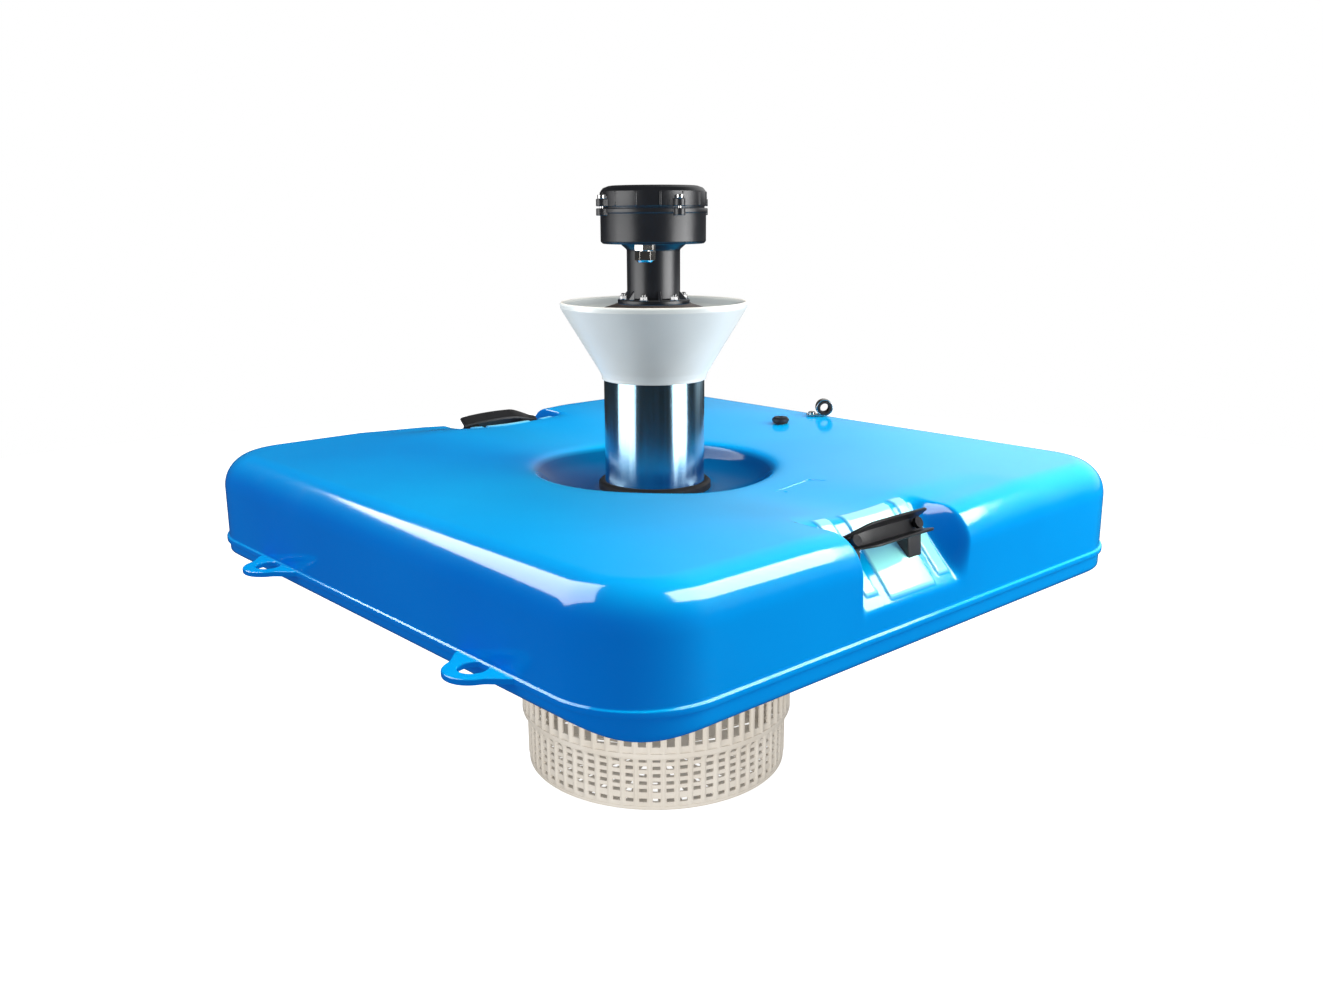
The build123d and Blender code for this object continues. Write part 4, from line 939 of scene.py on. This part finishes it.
# socket-head screws of the lid
screws = []
for a in LUGS:
    cx, cy = 64.0 * math.cos(math.radians(a)), 64.0 * math.sin(math.radians(a))
    head = rounded([(0, 672.62), (4.4, 672.62), (4.4, 677.0), (2.3, 677.0), (2.2, 674.8), (0, 674.8)], 0.4, 2)
    screws.append(lathe_data(head, 40, (cx, cy)))
    screws.append(lathe_data([(0, 655.0), (2.0, 655.0), (2.0, 672.8), (0, 672.8)], 24, (cx, cy)))
place(new_object("lid_screw_set", *joined(screws), M["steel"]), "lid", "fastener_steel", "lid_screws")

# studs and nuts at the foot of the neck
studs = []
for k in range(6):
    cx, cy = 35.5 * math.cos(math.radians(60 * k)), 35.5 * math.sin(math.radians(60 * k))
    studs.append(prism_data(polygon(cx, cy, 4.6, 6, 60 * k + 10), 562.0, 565.8))
    studs.append(lathe_data([(0, 561.35), (5.0, 561.35), (5.0, 562.05), (0, 562.05)], 32, (cx, cy)))
    studs.append(lathe_data([(0, 541.6), (2.5, 541.6), (2.5, 567.9), (1.9, 568.5), (0, 568.5)], 24, (cx, cy)))
place(bevel(new_object("neck_stud_set", *joined(studs), M["stud"]), 0.25, 2, 40), "float", "fastener_steel", "neck_bolts")

# cable gland
ga = math.radians(-53.6)
GX, GY = 45.0 * math.cos(ga), 45.0 * math.sin(ga)
hex_out = hexagon_ring(GX, GY, 12.0, 6)
place(bevel(new_object("gland_hex", *joined([ring_prism_data(hex_out, circle_like(hex_out, GX, GY, 5.5), 617.05, 623.4),
                                             lathe_data(rounded([(5.5, 609), (8.0, 609), (8.0, 633), (5.5, 633)], 0.4, 2), 64, (GX, GY))]),
                        M["nickel"]), 0.5, 3, 30), "float", "nickel", "gland_body")
nut_out = hexagon_ring(GX, GY, 11.5, 48)
place(bevel(new_object("gland_cap_nut", *joined([ring_prism_data(nut_out, circle_like(nut_out, GX, GY, 8.3), 606.5, 616.6),
                                                 lathe_data(rounded([(5.8, 604.35), (8.4, 604.35), (9.9, 606.6), (9.9, 607.4), (5.8, 607.4)], 0.7, 3), 64, (GX, GY))]),
                        M["nickel"]), 0.6, 3, 30), "gland_cap", "nickel", "gland_nut")


# ------------------------------------------------------------------ strainer basket
def grid_solid(us, vs, solid, outer, inner):
    """Closed wall over a ring of cells in u and a row of cells in v, open where solid is False."""
    nu, nv = len(us), len(vs)
    verts, index, faces = [], {}, []

    def vid(side, i, j):
        key = (side, i % nu, j)
        if key not in index:
            index[key] = len(verts)
            verts.append(outer(us[i % nu], vs[j], i % nu) if side else inner(us[i % nu], vs[j], i % nu))
        return index[key]

    for i in range(nu):
        for j in range(nv - 1):
            if not solid(i, j):
                continue
            faces.append((vid(1, i, j), vid(1, i + 1, j), vid(1, i + 1, j + 1), vid(1, i, j + 1)))
            faces.append((vid(0, i, j + 1), vid(0, i + 1, j + 1), vid(0, i + 1, j), vid(0, i, j)))
            if not solid((i - 1) % nu, j):
                faces.append((vid(1, i, j), vid(1, i, j + 1), vid(0, i, j + 1), vid(0, i, j)))
            if not solid((i + 1) % nu, j):
                faces.append((vid(1, i + 1, j + 1), vid(1, i + 1, j), vid(0, i + 1, j), vid(0, i + 1, j + 1)))
            if j == 0 or not solid(i, j - 1):
                faces.append((vid(1, i + 1, j), vid(1, i, j), vid(0, i, j), vid(0, i + 1, j)))
            if j == nv - 2 or not solid(i, j + 1):
                faces.append((vid(1, i, j + 1), vid(1, i + 1, j + 1), vid(0, i + 1, j + 1), vid(0, i, j + 1)))
    return verts, faces


COLS = 64
us, kind = [], []
for c in range(COLS):
    base = 360.0 / COLS * c
    for off, k in ((0.0, "rib"), (0.62, "wall"), (1.55, "hole"), (4.70, "wall")):
        us.append(math.radians(base + off))
        kind.append(k)
rows_z = [0.0, 1.5]
holes = set()
for lo, hi in ((9.8, 14.2), (22.1, 26.4), (31.3, 35.5), (40.5, 44.7), (49.8, 54.0), (58.8, 63.0)):
    rows_z += [lo, hi]
    holes.add(len(rows_z) - 2)
rows_z += [66.0, 74.0]
for lo, hi in ((80.0, 110.0), (116.0, 146.0), (152.0, 182.0), (188.0, 212.0)):
    rows_z += [lo, hi]
    holes.add(len(rows_z) - 2)
rows_z += [222.0, 228.0]


def wall_r(z):
    return float(np.interp(z, [0, 2, 60, 68, 222, 228], [156.8, 158.3, 158.6, 164.6, 165.0, 165.0]))


def b_outer(u, z, i):
    r = wall_r(z) + (1.5 if kind[i] in ("rib",) or kind[i - 1] == "rib" else 0.0) * (1.0 if 3 < z < 220 else 0.0)
    r = min(r, 166.2)
    return (r * math.cos(u), r * math.sin(u), z)


def b_inner(u, z, i):
    r = wall_r(z) - 3.0
    return (r * math.cos(u), r * math.sin(u), z)


def b_solid(i, j):
    return not (kind[i] == "hole" and j in holes)


wall = grid_solid(us, rows_z, b_solid, b_outer, b_inner)
fu = [math.radians(3.75 * k) for k in range(96)]
fv = [12.0, 42.0, 82.0, 93.0, 143.0, 156.5]


def f_solid(i, j):
    if j == 1:
        return not (i % 8 in (0, 1))
    if j == 3:
        return i % 4 != 0
    return True


floor_part = grid_solid(fu, fv, f_solid,
                        lambda u, r, i: (r * math.cos(u), r * math.sin(u), 3.6),
                        lambda u, r, i: (r * math.cos(u), r * math.sin(u), 0.2))
hub = lathe_data(rounded([(0, 0.0), (14.0, 0.0), (14.0, 5.0), (0, 5.0)], 1.0, 3), 96)
rim = lathe_data(rounded([(159.2, 221.8), (167.5, 221.8), (167.5, 227.9), (159.2, 227.9)], 1.2, 3), 256)
foot_ring = lathe_data(rounded([(152.5, 0.0), (157.6, 0.0), (158.9, 1.4), (158.9, 4.6), (152.5, 4.6)], 0.9, 3), 256)
step_ring = lathe_data(rounded([(161.0, 66.5), (166.2, 66.5), (166.2, 72.5), (161.0, 72.5)], 1.2, 3), 256)
lugs = []
for k in range(4):
    a = 45 + 90 * k
    pts = [(160.0, -13.0), (168.0, -9.5)]
    for q in range(13):
        t = math.radians(-80 + 160 * q / 12)
        pts.append((176.0 + 9.0 * math.cos(t), 9.0 * math.sin(t)))
    pts += [(168.0, 9.5), (160.0, 13.0)]
    lugs.append(turned(prism_data(pts, 222.05, 227.9), a))
basket = new_object("basket_wall", *joined([wall, floor_part, hub, rim, foot_ring, step_ring]), M["cream"], 28)
place(bevel(basket, 0.5, 2, 50), "basket", "basket_cream", "strainer_basket")
place(bevel(new_object("basket_lugs", *joined(lugs), M["cream"]), 1.0, 3, 40), "basket", "basket_cream")

# ------------------------------------------------------------------ carried-over nodes
KEEP = {
    "handle_screws": "dark_steel", "clip_screw": "steel",
    "riser_flange": "stainless", "riser_bolts": "steel", "motor_stem": "stainless", "stem_spider": "stainless",
    "neck_nuts": "steel", "lid_seal": "rubber", "gland_locknut": "nickel", "gland_seal": "rubber",
    "terminal_block": "block", "run_capacitor": "can", "motor_lead": "lead", "motor_can": "stainless",
    "motor_top_cap": "cast", "motor_bottom_cap": "cast", "stator_core": "lamination", "stator_winding": "copper",
    "motor_rotor": "lamination", "motor_shaft": "stainless", "upper_bearing": "steel", "lower_bearing": "steel",
    "shaft_seal": "rubber", "motor_spider": "stainless", "spider_screws": "steel", "propeller": "prop",
    "propeller_nut": "steel", "basket_screws": "steel",
}
for node, key in KEEP.items():
    o = NODES[node]
    o.data.materials.clear()
    o.data.materials.append(M[key])

# ------------------------------------------------------------------ floor
fm = material("floor_pale", (0.86, 0.86, 0.86), (0.88, 0.88, 0.88), rough=(0.7, 0.8), scale=2.0, bump=0.02, bump_scale=60.0)
glow = fm.node_tree.nodes["Principled BSDF"]
glow.inputs["Emission Color"].default_value = (1, 1, 1, 1)
glow.inputs["Emission Strength"].default_value = 0.75
verts, faces = lathe_data([(0, -0.3), (2600, -0.3), (2600, -20.0), (0, -20.0)], 96)
floor = new_object("floor", verts, faces, fm)
floor.visible_glossy = False
floor.visible_diffuse = False

# ------------------------------------------------------------------ light
def direction(az, el):
    a, e = math.radians(az), math.radians(el)
    return Vector((math.cos(e) * math.cos(a), math.cos(e) * math.sin(a), math.sin(e)))


TARGET = Vector((0.0, 0.0, 0.36))


def softbox(name, az, el, dist, width, height, watts, colour=(1, 1, 1), roll=0.0):
    light = bpy.data.lights.new(name, "AREA")
    light.shape = "RECTANGLE"
    light.size = width
    light.size_y = height
    light.energy = watts
    light.color = colour
    obj = bpy.data.objects.new(name, light)
    bpy.context.scene.collection.objects.link(obj)
    d = direction(az, el)
    obj.location = TARGET + d * dist
    quat = (-d).to_track_quat("-Z", "Y")
    obj.rotation_euler = (quat.to_matrix() @ Matrix.Rotation(math.radians(roll), 3, "Z")).to_euler()
    obj.visible_camera = False
    return obj


FLOAT_PIECES = ["float_upper", "float_lower", "mooring_ears", "top_bead", "top_bead_short"]
float_group = bpy.data.collections.new("lit_float")
other_group = bpy.data.collections.new("lit_others")
basket_group = bpy.data.collections.new("lit_basket")
cone_group = bpy.data.collections.new("lit_cone")
head_group = bpy.data.collections.new("lit_head")
HEAD_PIECES = ["housing", "housing_lugs", "lid_cap", "lid_ribs_and_lugs", "deflector"]
float_objects = [bpy.data.objects[n] for n in FLOAT_PIECES]
upper.visible_diffuse = False
lower.visible_diffuse = False
# the column isn't mirrored in the float's top
MIRRORED = FLOAT_PIECES + ["grip_front", "grip_front_feet", "grip_rear", "grip_rear_feet", "plug_head", "plug_gasket",
                           "clip_strap", "clip_lining", "clip_screw", "handle_screws", "basket_wall", "basket_lugs"]
for o in bpy.data.objects:
    if o.type == "MESH" and o.name not in MIRRORED:
        o.visible_glossy = False
for o in bpy.data.objects:
    if o.type != "MESH" or o == floor:
        continue
    if o in float_objects:
        float_group.objects.link(o)
    elif o.name == "cone":
        cone_group.objects.link(o)
    elif o.name.startswith("basket_"):
        basket_group.objects.link(o)
    else:
        other_group.objects.link(o)
    if o.name in HEAD_PIECES:
        head_group.objects.link(o)


def lit(light, group, diffuse=True, glossy=True):
    light.light_linking.receiver_collection = group
    light.visible_diffuse = diffuse
    light.visible_glossy = glossy
    return light


lit(softbox("rim_left", -145.9, 45.4, 6.0, 5.25, 4.1, 950, roll=-14), float_group, diffuse=False)
lit(softbox("rim_right", 51, 49.7, 6.0, 4.5, 3.0, 1040, roll=-50), float_group, diffuse=False)
lit(softbox("fill_right", 40, 26, 1.5, 1.2, 1.0, 46, colour=(1.0, 1.0, 0.50)), float_group, glossy=False)
lit(softbox("fill_top", 100, 65, 3.0, 2.0, 2.0, 27), float_group, glossy=False)
lit(softbox("fill_left", -125, 30, 3.0, 1.6, 1.6, 14), float_group, glossy=False)
lit(softbox("side_left", -108, 8, 2.8, 2.3, 1.9, 50), other_group)
lit(softbox("side_right", 18, 8, 2.8, 1.7, 1.9, 66), other_group)
lit(softbox("low_front", -43, -6, 2.6, 1.4, 0.9, 58), basket_group, glossy=False)
lit(softbox("cone_left", -133, -6, 2.5, 1.2, 1.2, 118), cone_group)
lit(softbox("cone_right", 48, -6, 2.5, 1.2, 1.2, 185), cone_group)
lit(softbox("cone_top", -42, 66, 2.2, 1.2, 1.2, 46, colour=(1.0, 0.97, 0.90)), cone_group, glossy=False)
lit(softbox("head_left", -140, 4, 2.6, 1.2, 1.6, 6.5), head_group, diffuse=False)
lit(softbox("head_right", 40, 4, 2.6, 1.0, 1.6, 26), head_group, diffuse=False)

world = bpy.data.worlds.new("studio")
bpy.context.scene.world = world
world.use_nodes = True
wn, wl = world.node_tree.nodes, world.node_tree.links
for n in list(wn):
    wn.remove(n)
out = wn.new("ShaderNodeOutputWorld")
tc = wn.new("ShaderNodeTexCoord")


def glow_from(az, el, lo, hi, dim, bright, horizon=False):
    """A soft white glow of the surroundings round one direction."""
    dot = wn.new("ShaderNodeVectorMath")
    dot.operation = "DOT_PRODUCT"
    dv = direction(az, el)
    dot.inputs[1].default_value = (dv.x, dv.y, dv.z)
    wl.new(tc.outputs["Generated"], dot.inputs[0])
    rng = wn.new("ShaderNodeMapRange")
    rng.interpolation_type = "SMOOTHSTEP"
    rng.inputs["From Min"].default_value = lo
    rng.inputs["From Max"].default_value = hi
    rng.inputs["To Min"].default_value = dim
    rng.inputs["To Max"].default_value = bright
    wl.new(dot.outputs["Value"], rng.inputs["Value"])
    strength = rng.outputs["Result"]
    if horizon:
        sep = wn.new("ShaderNodeSeparateXYZ")
        wl.new(tc.outputs["Generated"], sep.inputs["Vector"])
        rise = wn.new("ShaderNodeMapRange")
        rise.interpolation_type = "SMOOTHSTEP"
        rise.inputs["From Min"].default_value = -0.05
        rise.inputs["From Max"].default_value = 0.06
        wl.new(sep.outputs["Z"], rise.inputs["Value"])
        times = wn.new("ShaderNodeMath")
        times.operation = "MULTIPLY"
        wl.new(rng.outputs["Result"], times.inputs[0])
        wl.new(rise.outputs["Result"], times.inputs[1])
        least = wn.new("ShaderNodeMath")
        least.operation = "MAXIMUM"
        least.inputs[1].default_value = dim
        wl.new(times.outputs["Value"], least.inputs[0])
        strength = least.outputs["Value"]
    bg = wn.new("ShaderNodeBackground")
    bg.inputs["Color"].default_value = (1, 1, 1, 1)
    wl.new(strength, bg.inputs["Strength"])
    return bg


soft = glow_from(138, 30, -0.2, 1.0, 0.62, 1.0)
shine = glow_from(100, 16, 0.72, 1.0, 0.035, 0.9, horizon=True)
seen = wn.new("ShaderNodeBackground")
seen.inputs["Color"].default_value = (1, 1, 1, 1)
seen.inputs["Strength"].default_value = 1.0
path = wn.new("ShaderNodeLightPath")
inner = wn.new("ShaderNodeMixShader")
wl.new(path.outputs["Is Glossy Ray"], inner.inputs[0])
wl.new(soft.outputs[0], inner.inputs[1])
wl.new(shine.outputs[0], inner.inputs[2])
pick = wn.new("ShaderNodeMixShader")
wl.new(path.outputs["Is Camera Ray"], pick.inputs[0])
wl.new(inner.outputs[0], pick.inputs[1])
wl.new(seen.outputs[0], pick.inputs[2])
wl.new(pick.outputs[0], out.inputs["Surface"])

# ------------------------------------------------------------------ camera
cam_data = bpy.data.cameras.new("camera")
cam_data.lens = 31.56
cam_data.sensor_width = 36.0
cam_data.sensor_fit = "HORIZONTAL"
cam_data.clip_end = 100.0
cam = bpy.data.objects.new("camera", cam_data)
bpy.context.scene.collection.objects.link(cam)
fw = Vector((-0.7202, 0.6525, -0.2358)).normalized()
right = fw.cross(Vector((0, 0, 1))).normalized()
up = right.cross(fw)
rho = math.radians(-0.28)
r2 = right * math.cos(rho) + up * math.sin(rho)
u2 = up * math.cos(rho) - right * math.sin(rho)
mat = Matrix((
    (r2.x, u2.x, -fw.x, 1.0060),
    (r2.y, u2.y, -fw.y, -0.9008),
    (r2.z, u2.z, -fw.z, 0.6549),
    (0, 0, 0, 1),
))
cam.matrix_world = mat
bpy.context.scene.camera = cam
bpy.context.scene.view_settings.view_transform = "Standard"
